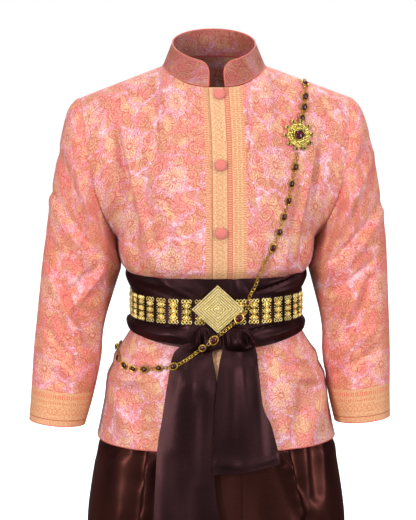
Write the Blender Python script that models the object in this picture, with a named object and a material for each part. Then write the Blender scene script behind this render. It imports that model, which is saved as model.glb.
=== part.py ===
"""A man's Thai formal dress, worn: a brocade jacket with a stand collar, a satin waist sash with a
knot and two hanging tails, a panelled belt with a rhombus buckle, a jewelled chain with a brooch,
and a chong kraben, the wrapped and tucked lower garment.

The frame is in metres with +Z up. The origin is at the base of the neck, the wearer faces -Y,
and +X is the wearer's left. Every cloth piece is a thin wall round a hollow figure.
"""

import math

import bmesh
import bpy
from mathutils import Vector
from mathutils.bvhtree import BVHTree

COLLECTION = "thai_formal_dress"

# Walls and seams
WALL = 0.0020             # brocade with its interfacing
SATIN_WALL = 0.0016       # one thickness of a sash tail
SEAM = 0.0004             # space between two panels at a seam
CLEAR = 0.0004            # space between pieces that touch
LAP = 0.0029              # the left front lies this far over the right front
LAP_FULL, LAP_GONE = 0.034, 0.062
ROUNDNESS = 0.84          # exponent of the rounded sections; 1 is an ellipse

# Jacket trunk, outer surface of the wall, from the hem up to the armpit
TRUNK = (  # height, half_width, front, back
    (-0.652, 0.2095, 0.1665, 0.1560),
    (-0.630, 0.2045, 0.1635, 0.1530),
    (-0.600, 0.1985, 0.1600, 0.1490),
    (-0.567, 0.1920, 0.1560, 0.1450),
    (-0.532, 0.1855, 0.1500, 0.1390),
    (-0.505, 0.1730, 0.1380, 0.1310),
    (-0.482, 0.1590, 0.1228, 0.1220),
    (-0.462, 0.1475, 0.1195, 0.1140),
    (-0.440, 0.1425, 0.1183, 0.1100),
    (-0.416, 0.1410, 0.1175, 0.1090),
    (-0.385, 0.1440, 0.1175, 0.1110),
    (-0.362, 0.1520, 0.1210, 0.1160),
    (-0.346, 0.1605, 0.1305, 0.1210),
    (-0.326, 0.1670, 0.1345, 0.1230),
    (-0.305, 0.1720, 0.1350, 0.1230),
)
HEM = TRUNK[0][0]
ARMPIT = TRUNK[-1][0]

# Neck and shoulder
NECK_HALF_WIDTH = 0.0885
NECK_FRONT = 0.0760
NECK_BACK = 0.0620
NECK_FRONT_HEIGHT = -0.0365
NECK_SIDE_HEIGHT = -0.0055
NECK_BACK_HEIGHT = 0.0080
NECK_SHARE = 0.42         # share of a panel's top edge that is neckline
NECK_COLUMNS, SHOULDER_COLUMNS = 5, 5
NECK_LEAN = -0.0035       # the head end leans this far towards the wearer's right
LEAN_BELOW = 0.150
LEFT_FRONT_EDGE = -0.0145 # the upper front passes the centre line by this much
RIGHT_FRONT_EDGE = -0.010
CENTRE_RISE = math.radians(58)

# Sleeve of the wearer's right side, from the armhole to the cuff
SLEEVE = (  # outer_x, outer_z, inner_x, inner_z, half_depth, centre_y, bow
    (0.2325, -0.0600, 0.1720, -0.3050, 0.0760, 0.004, 0.016),
    (0.2400, -0.0635, 0.1722, -0.3120, 0.0765, 0.004, 0.015),
    (0.2545, -0.0810, 0.1722, -0.3220, 0.0765, 0.003, 0.013),
    (0.2655, -0.1150, 0.1718, -0.3330, 0.0760, 0.002, 0.010),
    (0.2740, -0.1550, 0.1715, -0.3440, 0.0740, 0.001, 0.006),
    (0.2825, -0.2000, 0.1712, -0.3550, 0.0720, 0.000, 0.003),
    (0.2895, -0.2450, 0.1720, -0.3670, 0.0700, -0.001, 0.000),
    (0.2965, -0.2950, 0.1765, -0.3880, 0.0670, -0.004, 0.000),
    (0.3030, -0.3450, 0.1840, -0.4110, 0.0650, -0.008, 0.000),
    (0.3085, -0.3950, 0.1930, -0.4400, 0.0630, -0.013, 0.000),
    (0.3135, -0.4400, 0.1990, -0.4700, 0.0610, -0.018, 0.000),
    (0.3185, -0.4850, 0.2010, -0.5020, 0.0590, -0.023, 0.000),
    (0.3220, -0.5300, 0.2080, -0.5400, 0.0560, -0.029, 0.000),
    (0.3250, -0.5750, 0.2190, -0.5850, 0.0530, -0.035, 0.000),
    (0.3285, -0.6150, 0.2310, -0.6240, 0.0500, -0.041, 0.000),
)
LEFT_ARM_CLOSER = 0.0255  # the left cuff hangs this much nearer the body
LEFT_ARM_FROM, LEFT_ARM_TO = -0.300, -0.625
SLEEVE_COLUMNS, SLEEVE_ROWS = 20, 15
BACK_ARMHOLE_EXTRA = 0.004

# Soft folds, as seen from the front; x is measured from the centre to the side that is named
SLEEVE_FOLDS_RIGHT = (  # x_start, z_start, x_end, z_end, width, height
    (0.266, -0.140, 0.226, -0.277, 0.010, -0.0040),
    (0.250, -0.150, 0.206, -0.300, 0.011, 0.0035),
    (0.286, -0.305, 0.262, -0.400, 0.012, -0.0050),
    (0.262, -0.400, 0.214, -0.482, 0.011, -0.0055),
    (0.290, -0.360, 0.240, -0.470, 0.012, 0.0045),
    (0.228, -0.345, 0.282, -0.420, 0.010, -0.0025),
    (0.300, -0.470, 0.235, -0.530, 0.010, -0.0025),
)
SLEEVE_FOLDS_LEFT = (  # x_start, z_start, x_end, z_end, width, height
    (0.262, -0.130, 0.214, -0.215, 0.010, -0.0040),
    (0.214, -0.215, 0.186, -0.300, 0.010, -0.0045),
    (0.270, -0.170, 0.215, -0.300, 0.012, 0.0035),
    (0.252, -0.380, 0.218, -0.470, 0.011, 0.0045),
    (0.262, -0.370, 0.232, -0.480, 0.009, -0.0035),
    (0.285, -0.330, 0.225, -0.395, 0.010, -0.0030),
    (0.287, -0.490, 0.215, -0.540, 0.010, -0.0025),
)
TRUNK_FOLDS = (  # x_start, z_start, x_end, z_end, width, height
    (-0.176, -0.512, -0.095, -0.500, 0.0075, 0.0030),
    (-0.182, -0.536, -0.110, -0.522, 0.0080, -0.0025),
    (0.176, -0.507, 0.098, -0.497, 0.0075, 0.0030),
    (0.182, -0.535, 0.105, -0.520, 0.0085, -0.0030),
    (-0.185, -0.560, -0.150, -0.640, 0.014, 0.0035),
    (0.186, -0.560, 0.156, -0.640, 0.014, 0.0035),
    (-0.200, -0.150, -0.150, -0.330, 0.013, -0.0030),
    (0.200, -0.150, 0.150, -0.330, 0.013, -0.0030),
    (-0.120, -0.270, -0.112, -0.348, 0.010, 0.0025),
    (0.118, -0.270, 0.110, -0.348, 0.010, 0.0025),
    (-0.060, -0.290, -0.058, -0.348, 0.010, 0.0020),
    (0.064, -0.290, 0.060, -0.348, 0.010, 0.0020),
)

# Stand collar
COLLAR_TOP_HALF_WIDTH = 0.0725
COLLAR_TOP_FRONT = 0.0665
COLLAR_TOP_BACK = 0.0540
COLLAR_TOP_FRONT_HEIGHT = 0.0035
COLLAR_TOP_BACK_HEIGHT = 0.0500
COLLAR_HALF_GAP = math.radians(9.5)
COLLAR_LIFT = 0.0006
COLLAR_CORNER = 0.017

# Covered buttons, down the centre of the left front
BUTTON_RADIUS = 0.0102
BUTTON_THICKNESS = 0.0072
BUTTON_HEIGHTS = (-0.0480, -0.1650, -0.2790)

# Satin sash, outer surface of the wall
SASH = (  # height, half_width, front, back
    (-0.4800, 0.1545, 0.1290, 0.1210),
    (-0.4730, 0.1558, 0.1296, 0.1220),
    (-0.4600, 0.1560, 0.1294, 0.1220),
    (-0.4480, 0.1530, 0.1280, 0.1200),
    (-0.4380, 0.1480, 0.1252, 0.1162),
    (-0.4160, 0.1460, 0.1238, 0.1148),
    (-0.3940, 0.1480, 0.1244, 0.1160),
    (-0.3840, 0.1530, 0.1264, 0.1192),
    (-0.3700, 0.1585, 0.1284, 0.1228),
    (-0.3590, 0.1575, 0.1288, 0.1225),
)
SASH_WALL = 0.0022
SASH_SIDE_RISE = 0.020    # its lower edge is this much higher at the sides and the back
SASH_FOLDS = (  # x_start, z_start, x_end, z_end, width, height
    (-0.150, -0.366, -0.052, -0.376, 0.0050, 0.0020),
    (0.150, -0.364, 0.060, -0.376, 0.0050, 0.0020),
    (0.120, -0.360, 0.045, -0.366, 0.0040, 0.0014),
    (-0.150, -0.450, -0.075, -0.462, 0.0050, 0.0022),
    (0.150, -0.448, 0.080, -0.458, 0.0050, 0.0022),
    (0.125, -0.462, 0.085, -0.470, 0.0040, -0.0008),
)

# Knot below the buckle: a heap of folded satin, in columns from its right edge to its left
KNOT = (  # top_x, bottom_x, bottom_height, swell
    (-0.0460, -0.0530, -0.4770, 0.0000),
    (-0.0400, -0.0440, -0.4815, 0.0065),
    (-0.0300, -0.0310, -0.4835, 0.0105),
    (-0.0200, -0.0190, -0.4830, 0.0080),
    (-0.0110, -0.0110, -0.4800, 0.0030),
    (-0.0050, -0.0040, -0.4785, 0.0020),
    (0.0040, 0.0050, -0.4795, 0.0055),
    (0.0160, 0.0180, -0.4820, 0.0110),
    (0.0280, 0.0310, -0.4830, 0.0150),
    (0.0400, 0.0440, -0.4810, 0.0150),
    (0.0500, 0.0550, -0.4765, 0.0100),
    (0.0570, 0.0620, -0.4700, 0.0020),
)
KNOT_TOP = -0.4410
KNOT_BACK_LOW, KNOT_BACK_TOP = -0.1364, -0.1302
KNOT_FROM_BUCKLE = 0.0020
KNOT_PLIES = 0.0036
KNOT_COLUMNS, KNOT_ROWS = 18, 5

# Hanging tails: the surface they hang on, then their side edges
DRAPE = (  # height, half_width, front
    (-0.8800, 0.2350, 0.1850),
    (-0.8200, 0.2350, 0.1860),
    (-0.7600, 0.2330, 0.1850),
    (-0.7000, 0.2250, 0.1810),
    (-0.6520, 0.2150, 0.1735),
    (-0.6000, 0.2040, 0.1660),
    (-0.5320, 0.1910, 0.1565),
    (-0.5050, 0.1850, 0.1460),
    (-0.4860, 0.1600, 0.1322),
    (-0.4680, 0.1560, 0.1301),
)
TAIL_RIGHT_EDGES = (  # height, right_x, left_x
    (-0.8800, -0.1190, 0.0020),
    (-0.7650, -0.1165, -0.0042),
    (-0.7271, -0.1147, -0.0110),
    (-0.6427, -0.1089, -0.0165),
    (-0.5971, -0.1010, -0.0130),
    (-0.5365, -0.0912, -0.0080),
    (-0.4860, -0.0790, -0.0150),
    (-0.4680, -0.0520, -0.0120),
)
TAIL_LEFT_EDGES = (  # height, right_x, left_x
    (-0.6870, -0.0178, 0.0990),
    (-0.6500, -0.0165, 0.0935),
    (-0.6085, -0.0140, 0.0847),
    (-0.5745, -0.0120, 0.0700),
    (-0.5155, -0.0060, 0.0633),
    (-0.4860, 0.0010, 0.0610),
    (-0.4680, 0.0060, 0.0560),
)
TAIL_LEFT_SLANT = 0.017   # its left corner ends this much higher
TAIL_FOLDS = (  # x_start, z_start, x_end, z_end, width, height
    (-0.0600, -0.500, -0.0780, -0.800, 0.010, 0.0035),
    (-0.0350, -0.500, -0.0450, -0.760, 0.008, 0.0028),
    (0.0250, -0.500, 0.0320, -0.690, 0.009, 0.0032),
    (0.0480, -0.500, 0.0680, -0.690, 0.009, 0.0034),
)

# Panelled belt and its buckle
BELT_HEIGHT = -0.4160
BELT_HALF_WIDTH, BELT_FRONT, BELT_BACK = 0.1485, 0.1262, 0.1172
BELT_THICKNESS = 0.0028
PANELS_PER_HALF = 17
PANEL_HALF_HEIGHT = 0.0215
HINGE_HALF_HEIGHT = 0.0150
BUCKLE_CENTRE = (-0.0050, -0.4100)
BUCKLE_HALF_WIDTH, BUCKLE_HALF_HEIGHT = 0.0442, 0.0412
BUCKLE_THICKNESS = 0.0030
BUCKLE_STEPS = (  # inset, rise
    (0.0025, 0.0008),
    (0.0045, 0.0002),
    (0.0015, 0.0010),
    (0.0060, 0.0002),
    (0.0015, 0.0010),
)

# Jewelled chain: where it rests, from which side it is laid on, and the setting's half width
CHAIN_SHOULDER = (  # side, x, y, z, stone
    ("top", 0.1535, -0.0050, 0.0, 0.0),
    ("top", 0.1515, -0.0220, 0.0, 0.0045),
    ("top", 0.1495, -0.0400, 0.0, 0.0045),
    ("front", 0.1450, 0.0, -0.0730, 0.0045),
    ("front", 0.1408, 0.0, -0.0915, 0.0),
)
CHAIN_CHEST = (  # side, x, y, z, stone
    ("front", 0.1321, 0.0, -0.1485, 0.0),
    ("front", 0.1285, 0.0, -0.1720, 0.0045),
    ("front", 0.1220, 0.0, -0.2000, 0.0045),
    ("front", 0.1164, 0.0, -0.2280, 0.0045),
    ("front", 0.1078, 0.0, -0.2552, 0.0045),
    ("front", 0.0998, 0.0, -0.2809, 0.0045),
    ("front", 0.0886, 0.0, -0.3075, 0.0045),
    ("front", 0.0730, 0.0, -0.3349, 0.0),
    ("front", 0.0610, 0.0, -0.3670, 0.0),
    ("front", 0.0500, 0.0, -0.3890, 0.0),
    ("front", 0.0452, 0.0, -0.4000, 0.0040),
    ("front", 0.0446, 0.0, -0.4130, 0.0),
    ("front", 0.0308, 0.0, -0.4268, 0.0048),
    ("front", 0.0140, 0.0, -0.4420, 0.0),
)
CHAIN_WAIST = (  # side, x, y, z, stone
    ("front", 0.0090, 0.0, -0.4470, 0.0),
    ("front", -0.0010, 0.0, -0.4570, 0.0),
    ("front", -0.0160, 0.0, -0.4660, 0.0056),
    ("front", -0.0310, 0.0, -0.4745, 0.0045),
    ("front", -0.0470, 0.0, -0.4880, 0.0),
    ("front", -0.0600, 0.0, -0.4960, 0.0),
    ("front", -0.0800, 0.0, -0.5060, 0.0045),
    ("front", -0.1040, 0.0, -0.5125, 0.0050),
    ("front", -0.1274, 0.0, -0.5165, 0.0045),
    ("front", -0.1468, 0.0, -0.5178, 0.0050),
    ("front", -0.1620, 0.0, -0.5155, 0.0045),
    ("right", 0.0, -0.0500, -0.5080, 0.0045),
    ("right", 0.0, -0.0230, -0.5010, 0.0),
)
CHAIN_BACK = (  # side, x, y, z, stone
    ("right", 0.0, -0.0200, -0.5005, 0.0),
    ("right", 0.0, 0.0200, -0.5005, 0.0045),
    ("right", 0.0, 0.0600, -0.5040, 0.0045),
    ("back", -0.1420, 0.0, -0.5070, 0.0045),
    ("back", -0.1140, 0.0, -0.5000, 0.0045),
    ("back", -0.0880, 0.0, -0.4800, 0.0),
    ("back", -0.0700, 0.0, -0.4540, 0.0045),
    ("back", -0.0440, 0.0, -0.4160, 0.0),
    ("back", -0.0220, 0.0, -0.3800, 0.0045),
    ("back", -0.0110, 0.0, -0.3612, 0.0),
    ("back", 0.0060, 0.0, -0.3360, 0.0),
    ("back", 0.0280, 0.0, -0.3000, 0.0045),
    ("back", 0.0560, 0.0, -0.2500, 0.0045),
    ("back", 0.0840, 0.0, -0.2000, 0.0045),
    ("back", 0.1080, 0.0, -0.1520, 0.0045),
    ("back", 0.1290, 0.0, -0.1060, 0.0045),
    ("top", 0.1430, 0.0730, 0.0, 0.0),
    ("top", 0.1500, 0.0450, 0.0, 0.0045),
    ("top", 0.1540, 0.0120, 0.0, 0.0),
)
STONE_THICKNESS = 0.0050
LINK_HALF_WIDTH, LINK_THICKNESS = 0.0013, 0.0020
LINK_CLEAR = 0.0016
CHAIN_SIDES = 5

# Brooch on the chest
BROOCH_AT = (0.1355, -0.1190)
BROOCH_POINTS = 10
BROOCH_RADIUS, BROOCH_NOTCH = 0.0240, 0.0190
BROOCH_THICKNESS = 0.0030
BROOCH_LIFT = 0.0014
BROOCH_DOME = (  # inset, rise
    (0.0050, 0.0016),
    (0.0040, 0.0012),
)
RUBY_RADIUS, RUBY_THICKNESS = 0.0080, 0.0050

# Chong kraben, one half, outer surface: above the crotch the inner column isn't used
KRABEN = (  # height, outer, parting, inner, front, back
    (-1.0500, 0.1900, 0.1240, 0.0580, 0.0900, 0.0880),
    (-1.0200, 0.1965, 0.1200, 0.0520, 0.1030, 0.1010),
    (-0.9800, 0.2090, 0.1080, 0.0430, 0.1220, 0.1180),
    (-0.9300, 0.2225, 0.0720, 0.0320, 0.1440, 0.1370),
    (-0.8800, 0.2300, 0.0260, 0.0240, 0.1610, 0.1520),
    (-0.8400, 0.2290, 0.0150, 0.0150, 0.1680, 0.1575),
    (-0.7900, 0.2270, 0.0050, 0.0050, 0.1710, 0.1595),
    (-0.7400, 0.2205, 0.0006, 0.0006, 0.1700, 0.1580),
    (-0.7000, 0.2140, 0.0006, 0.0006, 0.1670, 0.1550),
    (-0.6700, 0.2105, 0.0006, 0.0006, 0.1635, 0.1510),
    (-0.6500, 0.2025, 0.0006, 0.0006, 0.1590, 0.1470),
    (-0.6000, 0.1900, 0.0006, 0.0006, 0.1530, 0.1410),
    (-0.5320, 0.1730, 0.0006, 0.0006, 0.1420, 0.1300),
    (-0.4950, 0.1500, 0.0006, 0.0006, 0.1200, 0.1130),
    (-0.4600, 0.1370, 0.0006, 0.0006, 0.1110, 0.1040),
)
KRABEN_WALL = 0.0018
LEG_ROWS = 4              # rows of that table, from the hem, that lie below the crotch
CROTCH_ARCH = 0.020
SWAG_FROM = -0.470        # the swags spread from the centre of the waist at this height
SWAGS = (  # angle_from_down, width, height
    (17.0, 3.0, -0.0060),
    (24.0, 3.4, 0.0080),
    (30.5, 3.4, -0.0130),
    (38.0, 4.0, 0.0110),
    (47.5, 4.5, -0.0110),
    (58.0, 5.0, 0.0060),
    (70.0, 5.5, -0.0050),
)
SWAG_TOP, SWAG_FULL = 0.150, 0.290

# Centre pleat: from the front waist, between the legs, up to the back waist
PLEAT = (  # depth_share, height, half_width
    (-1.00, -0.5180, 0.0285),
    (-1.00, -0.5320, 0.0300),
    (-1.00, -0.6000, 0.0310),
    (-1.00, -0.6500, 0.0315),
    (-1.00, -0.6700, 0.0315),
    (-1.00, -0.7000, 0.0315),
    (-1.00, -0.7400, 0.0315),
    (-1.00, -0.7900, 0.0310),
    (-1.00, -0.8400, 0.0270),
    (-1.00, -0.8800, 0.0200),
    (-0.92, -0.9120, 0.0150),
    (-0.65, -0.9300, 0.0135),
    (-0.20, -0.9370, 0.0130),
    (0.20, -0.9370, 0.0130),
    (0.65, -0.9300, 0.0135),
    (0.92, -0.9120, 0.0150),
    (1.00, -0.8800, 0.0172),
    (1.00, -0.8400, 0.0232),
    (1.00, -0.7900, 0.0267),
    (1.00, -0.7400, 0.0271),
    (1.00, -0.7000, 0.0271),
    (1.00, -0.6700, 0.0271),
    (1.00, -0.6500, 0.0271),
    (1.00, -0.6000, 0.0267),
    (1.00, -0.5320, 0.0258),
    (1.00, -0.5180, 0.0245),
)
PLEAT_LIFT = 0.0011
PLEAT_WALL = 0.0024


def clear_scene():
    for item in list(bpy.data.objects):
        bpy.data.objects.remove(item)


def material(name, colour, roughness, metallic=0.0):
    made = bpy.data.materials.new(name)
    made.use_nodes = True
    shader = made.node_tree.nodes["Principled BSDF"]
    shader.inputs["Base Color"].default_value = (*colour, 1.0)
    shader.inputs["Roughness"].default_value = roughness
    shader.inputs["Metallic"].default_value = metallic
    return made


def add_object(name, mesh_edit, finish, group):
    """Puts a finished bmesh into the group as an object with its material."""
    mesh = bpy.data.meshes.new(name)
    mesh_edit.to_mesh(mesh)
    mesh_edit.free()
    mesh.materials.append(finish)
    mesh.shade_smooth()
    mesh.set_sharp_from_angle(angle=math.radians(50))
    made = bpy.data.objects.new(name, mesh)
    group.objects.link(made)
    return made


def mix(first, second, share):
    return first + (second - first) * share


def ease(share):
    share = min(max(share, 0.0), 1.0)
    return share * share * (3.0 - 2.0 * share)


def panel_column(share):
    """Where a panel's column lies: an equal share of the neckline, then closer near the side."""
    columns = NECK_COLUMNS + SHOULDER_COLUMNS
    place = share * columns
    if place <= NECK_COLUMNS:
        return NECK_SHARE * place / NECK_COLUMNS
    rest = (place - NECK_COLUMNS) / SHOULDER_COLUMNS
    rest = mix(rest, math.sin(rest * math.pi / 2), 0.5)
    return mix(NECK_SHARE, 1.0, rest)


def along(table, place):
    """Every column of a table at a place counted in rows, on a smooth curve through the rows."""
    place = min(max(place, 0.0), len(table) - 1.0)
    first = min(int(place), len(table) - 2)
    share = place - first
    rows = [table[min(max(first + step, 0), len(table) - 1)] for step in (-1, 0, 1, 2)]
    values = []
    for before, start, end, after in zip(*rows):
        slope_in = (end - before) / 2.0
        slope_out = (after - start) / 2.0
        square, cube = share ** 2, share ** 3
        values.append(
            start * (2 * cube - 3 * square + 1) + slope_in * (cube - 2 * square + share)
            + end * (3 * square - 2 * cube) + slope_out * (cube - square)
        )
    return values


def at_height(table, height):
    """The columns after the first, at a height; the first column is the height."""
    last = len(table) - 2
    first = 0
    while first < last and (height - table[first + 1][0]) * (table[1][0] - table[0][0]) > 0:
        first += 1
    share = (height - table[first][0]) / (table[first + 1][0] - table[first][0])
    return along(table, first + min(max(share, 0.0), 1.0))[1:]


def fold_height(folds, x, z):
    """Sum of soft ridges and troughs, each along a straight stretch that fades at its ends."""
    total = 0.0
    for x_start, z_start, x_end, z_end, width, height in folds:
        run_x, run_z = x_end - x_start, z_end - z_start
        length = run_x ** 2 + run_z ** 2
        share = ((x - x_start) * run_x + (z - z_start) * run_z) / length
        nearest = min(max(share, 0.0), 1.0)
        off = math.hypot(x - x_start - nearest * run_x, z - z_start - nearest * run_z)
        total += height * math.exp(-((off / width) ** 2)) * (0.55 + 0.45 * math.sin(math.pi * nearest))
    return total


def section(half_width, front, back, angle):
    """A point of a rounded section: angle 0 is the front, a quarter turn is the side."""
    sine, cosine = math.sin(angle), math.cos(angle)
    depth = -front if cosine > 0 else back
    return (
        math.copysign(half_width * abs(sine) ** ROUNDNESS, sine),
        depth * abs(cosine) ** ROUNDNESS,
    )


def angle_at(half_width, x):
    """The angle at which a section of that half width reaches x, on its front."""
    return math.copysign(math.asin(min(abs(x) / half_width, 1.0) ** (1.0 / ROUNDNESS)), x)


def leaned(point):
    share = ease(1.0 + point.z / LEAN_BELOW)
    return Vector((point.x + NECK_LEAN * share, point.y, point.z))


def neckline(angle, facing):
    """The neck seam: angle 0 is the centre of the side that is faced, a quarter turn the shoulder."""
    depth = -NECK_FRONT if facing == "front" else NECK_BACK
    centre = NECK_FRONT_HEIGHT if facing == "front" else NECK_BACK_HEIGHT
    rise = mix(centre, NECK_SIDE_HEIGHT, abs(math.sin(angle)) ** 3)
    return Vector((NECK_HALF_WIDTH * math.sin(angle), depth * math.cos(angle), rise))


def sleeve_ring(place, angle, extra=0.0):
    """A point of the sleeve: place counts rows of its table, angle 0 is the outer edge."""
    outer_x, outer_z, inner_x, inner_z, depth, centre_y, bow = along(SLEEVE, place)
    sine, cosine = math.sin(angle), math.cos(angle)
    if sine < 0:
        depth += BACK_ARMHOLE_EXTRA * max(0.0, 1.0 - place / 4.0)
    return Vector((
        (outer_x + inner_x) / 2 + (outer_x - inner_x) / 2 * cosine + bow * sine ** 2 + extra * cosine,
        centre_y - (depth + extra) * sine,
        (outer_z + inner_z) / 2 + (outer_z - inner_z) / 2 * cosine,
    ))


def trunk_low(share, u, facing, edge):
    """The trunk below the armpit; u runs from the panel's centre edge to the side seam."""
    height, half_width, front, back = along(TRUNK, share * (len(TRUNK) - 1))
    start = angle_at(half_width, edge)
    x, y = section(half_width, front, back, mix(start, math.pi / 2, u))
    if facing == "back":
        x, y = section(half_width, back, back, mix(start, math.pi / 2, u))
        y = -y
    return Vector((x, y, height))


def trunk_high(share, u, facing, edge):
    """The trunk above the armpit, rounded over to the neckline and the shoulder seam."""
    low = trunk_low(1.0, u, facing, edge)
    armhole_top = sleeve_ring(0.0, 0.0)
    start = math.asin(edge / NECK_HALF_WIDTH)
    if u < NECK_SHARE:
        top = neckline(mix(start, math.pi / 2, u / NECK_SHARE), facing)
    else:
        top = neckline(math.pi / 2, facing).lerp(armhole_top, (u - NECK_SHARE) / (1 - NECK_SHARE))
    reach = mix(CENTRE_RISE, math.pi / 2, ease(u / NECK_SHARE))

    def column(bottom, upper, full):
        turn = full * share
        back_off = (math.cos(turn) - math.cos(full)) / (1 - math.cos(full))
        return Vector((
            mix(bottom.x, upper.x, share),
            upper.y + (bottom.y - upper.y) * back_off,
            bottom.z + (upper.z - bottom.z) * math.sin(turn) / math.sin(full),
        ))

    point = column(low, top, reach)
    sign = 1 if facing == "front" else -1
    rim = sleeve_ring(0.0, sign * math.pi * (1 - share))
    plain = column(trunk_low(1.0, 1.0, facing, edge), armhole_top, math.pi / 2)
    return point + (rim - plain) * u ** 2.6


def trunk(v, u, facing, edge, side, armpit_share, lap=0.0):
    """A point of the jacket's trunk on one side (1 is the wearer's left) with its folds."""
    if v <= armpit_share:
        point = trunk_low(v / armpit_share, u, facing, edge)
    else:
        point = trunk_high((v - armpit_share) / (1 - armpit_share), u, facing, edge)
    outward = Vector((point.x * 0.5, point.y, 0.0))
    outward = outward.normalized() if outward.length > 1e-6 else Vector((0, -1, 0))
    rise = fold_height(TRUNK_FOLDS, side * point.x, point.z)
    rise += lap * (1.0 - ease((point.x - LAP_FULL) / (LAP_GONE - LAP_FULL))) * (
        1.0 + 0.4 * ease(1.0 + point.z / 0.15))
    point += outward * rise
    return leaned(Vector((side * point.x, point.y, point.z)))


def sheet(columns, rows, place, closed=False):
    """An open cloth surface: a grid whose points are put where place(u, v) says."""
    cloth = bmesh.new()
    bmesh.ops.create_grid(cloth, x_segments=columns, y_segments=rows, size=1.0)
    for corner in cloth.verts:
        corner.co = place((corner.co.x + 1.0) / 2.0, (corner.co.y + 1.0) / 2.0)
    if closed:
        bmesh.ops.remove_doubles(cloth, verts=cloth.verts, dist=1e-6)
    return cloth


def turn_outward(cloth, away_from):
    """Makes the faces of an open surface point away from a hollow: away_from(point) is inside it."""
    cloth.normal_update()
    score = 0.0
    for face in cloth.faces:
        centre = face.calc_center_median()
        score += face.normal.dot(centre - away_from(centre)) * face.calc_area()
    if score < 0:
        bmesh.ops.reverse_faces(cloth, faces=cloth.faces)
    cloth.normal_update()


def axis_point(point):
    return Vector((0.0, 0.0, point.z))


def walled(cloth, thickness, rim=None):
    """Gives an open surface a wall: a second skin behind it, joined to it along every edge.

    The skin lies inward along the normals. On an edge where rim(point) gives a direction, it lies
    inward along that, so that the walls of two panels meet squarely at their seam.
    """
    outward = {}
    for corner in cloth.verts:
        squared = rim(corner.co) if rim and corner.is_boundary else None
        outward[corner.co.to_tuple(6)] = squared or corner.normal.copy()
    skin = bmesh.ops.extrude_face_region(cloth, geom=cloth.faces[:], use_keep_orig=True)["geom"]
    for corner in [item for item in skin if isinstance(item, bmesh.types.BMVert)]:
        corner.co -= outward[corner.co.to_tuple(6)] * thickness
    bmesh.ops.recalc_face_normals(cloth, faces=cloth.faces)
    return cloth


def off_armhole(point):
    """Away from the middle of the armhole, for the points of its seam."""
    middle = sleeve_ring(0.0, 0.0).lerp(sleeve_ring(0.0, math.pi), 0.5)
    if abs(point.x) < 0.165 or point.z < ARMPIT - 0.004 or point.z > sleeve_ring(0.0, 0.0).z + 0.0005:
        return None
    return (point - Vector((math.copysign(middle.x, point.x), middle.y, middle.z))).normalized()


def jacket_panels(brocade, group):
    low_rows, high_rows = len(TRUNK) - 1, SLEEVE_COLUMNS // 2
    rows = low_rows + high_rows
    armpit_share = low_rows / rows
    columns = NECK_COLUMNS + SHOULDER_COLUMNS
    seam = SEAM / 2 / 0.2

    def panel_point(v, across, facing, edge, side, lap=0.0):
        if v > armpit_share:
            v -= seam * (v - armpit_share) / (1 - armpit_share)
        return trunk(v, panel_column(across) * (1 - seam), facing, edge, side, armpit_share, lap)

    for name, side, edge, lap in (
            ("jacket_front_right", -1, RIGHT_FRONT_EDGE, 0.0),
            ("jacket_front_left", 1, LEFT_FRONT_EDGE, LAP)):
        cloth = sheet(columns, rows, lambda u, v: panel_point(v, u, "front", edge, side, lap))
        turn_outward(cloth, axis_point)
        add_object(name, walled(cloth, WALL, off_armhole), brocade, group)

    cloth = sheet(2 * columns, rows, lambda u, v: panel_point(
        v, abs(2 * u - 1), "back", 0.0, 1 if u > 0.5 else -1))
    turn_outward(cloth, axis_point)
    add_object("jacket_back", walled(cloth, WALL, off_armhole), brocade, group)


def sleeve(name, side, folds, brocade, group):
    last = len(SLEEVE) - 1
    start = SEAM / 0.0075

    def place(u, v):
        reach = start + (last - start) * v
        angle = 2 * math.pi * u
        point = sleeve_ring(reach, angle)
        middle = sleeve_ring(reach, 0.0).lerp(sleeve_ring(reach, math.pi), 0.5)
        outward = (point - middle).normalized()
        fade = ease((reach - 1.0) / 2.0) * ease((last - reach) / 2.0)
        inner = ease((math.cos(angle) + 1.0) / 0.5) if reach < 7 else 1.0
        point += outward * fold_height(folds, point.x, point.z) * fade * inner
        if side > 0:
            drop = (LEFT_ARM_FROM - point.z) / (LEFT_ARM_FROM - LEFT_ARM_TO)
            point.x -= LEFT_ARM_CLOSER * max(0.0, drop)
        return leaned(Vector((side * point.x, point.y, point.z)))

    cloth = sheet(SLEEVE_COLUMNS, SLEEVE_ROWS, place, closed=True)
    turn_outward(cloth, lambda point: Vector((side * (0.205 - 0.12 * point.z), -0.01, point.z)))
    add_object(name, walled(cloth, WALL, off_armhole), brocade, group)


def collar_angle(column):
    """The neck angle of a collar column: those of the panels' columns, from end to end."""
    half = 2 * NECK_COLUMNS - 1
    if column > half:
        return 2 * math.pi - collar_angle(2 * half - column)
    if column == 0:
        return COLLAR_HALF_GAP
    if column >= NECK_COLUMNS - 1:
        return math.pi / 2 * (1 + (column + 1 - NECK_COLUMNS) / NECK_COLUMNS)
    start = math.asin(LEFT_FRONT_EDGE / NECK_HALF_WIDTH)
    return mix(start, math.pi / 2, (column + 1) / NECK_COLUMNS)


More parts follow.
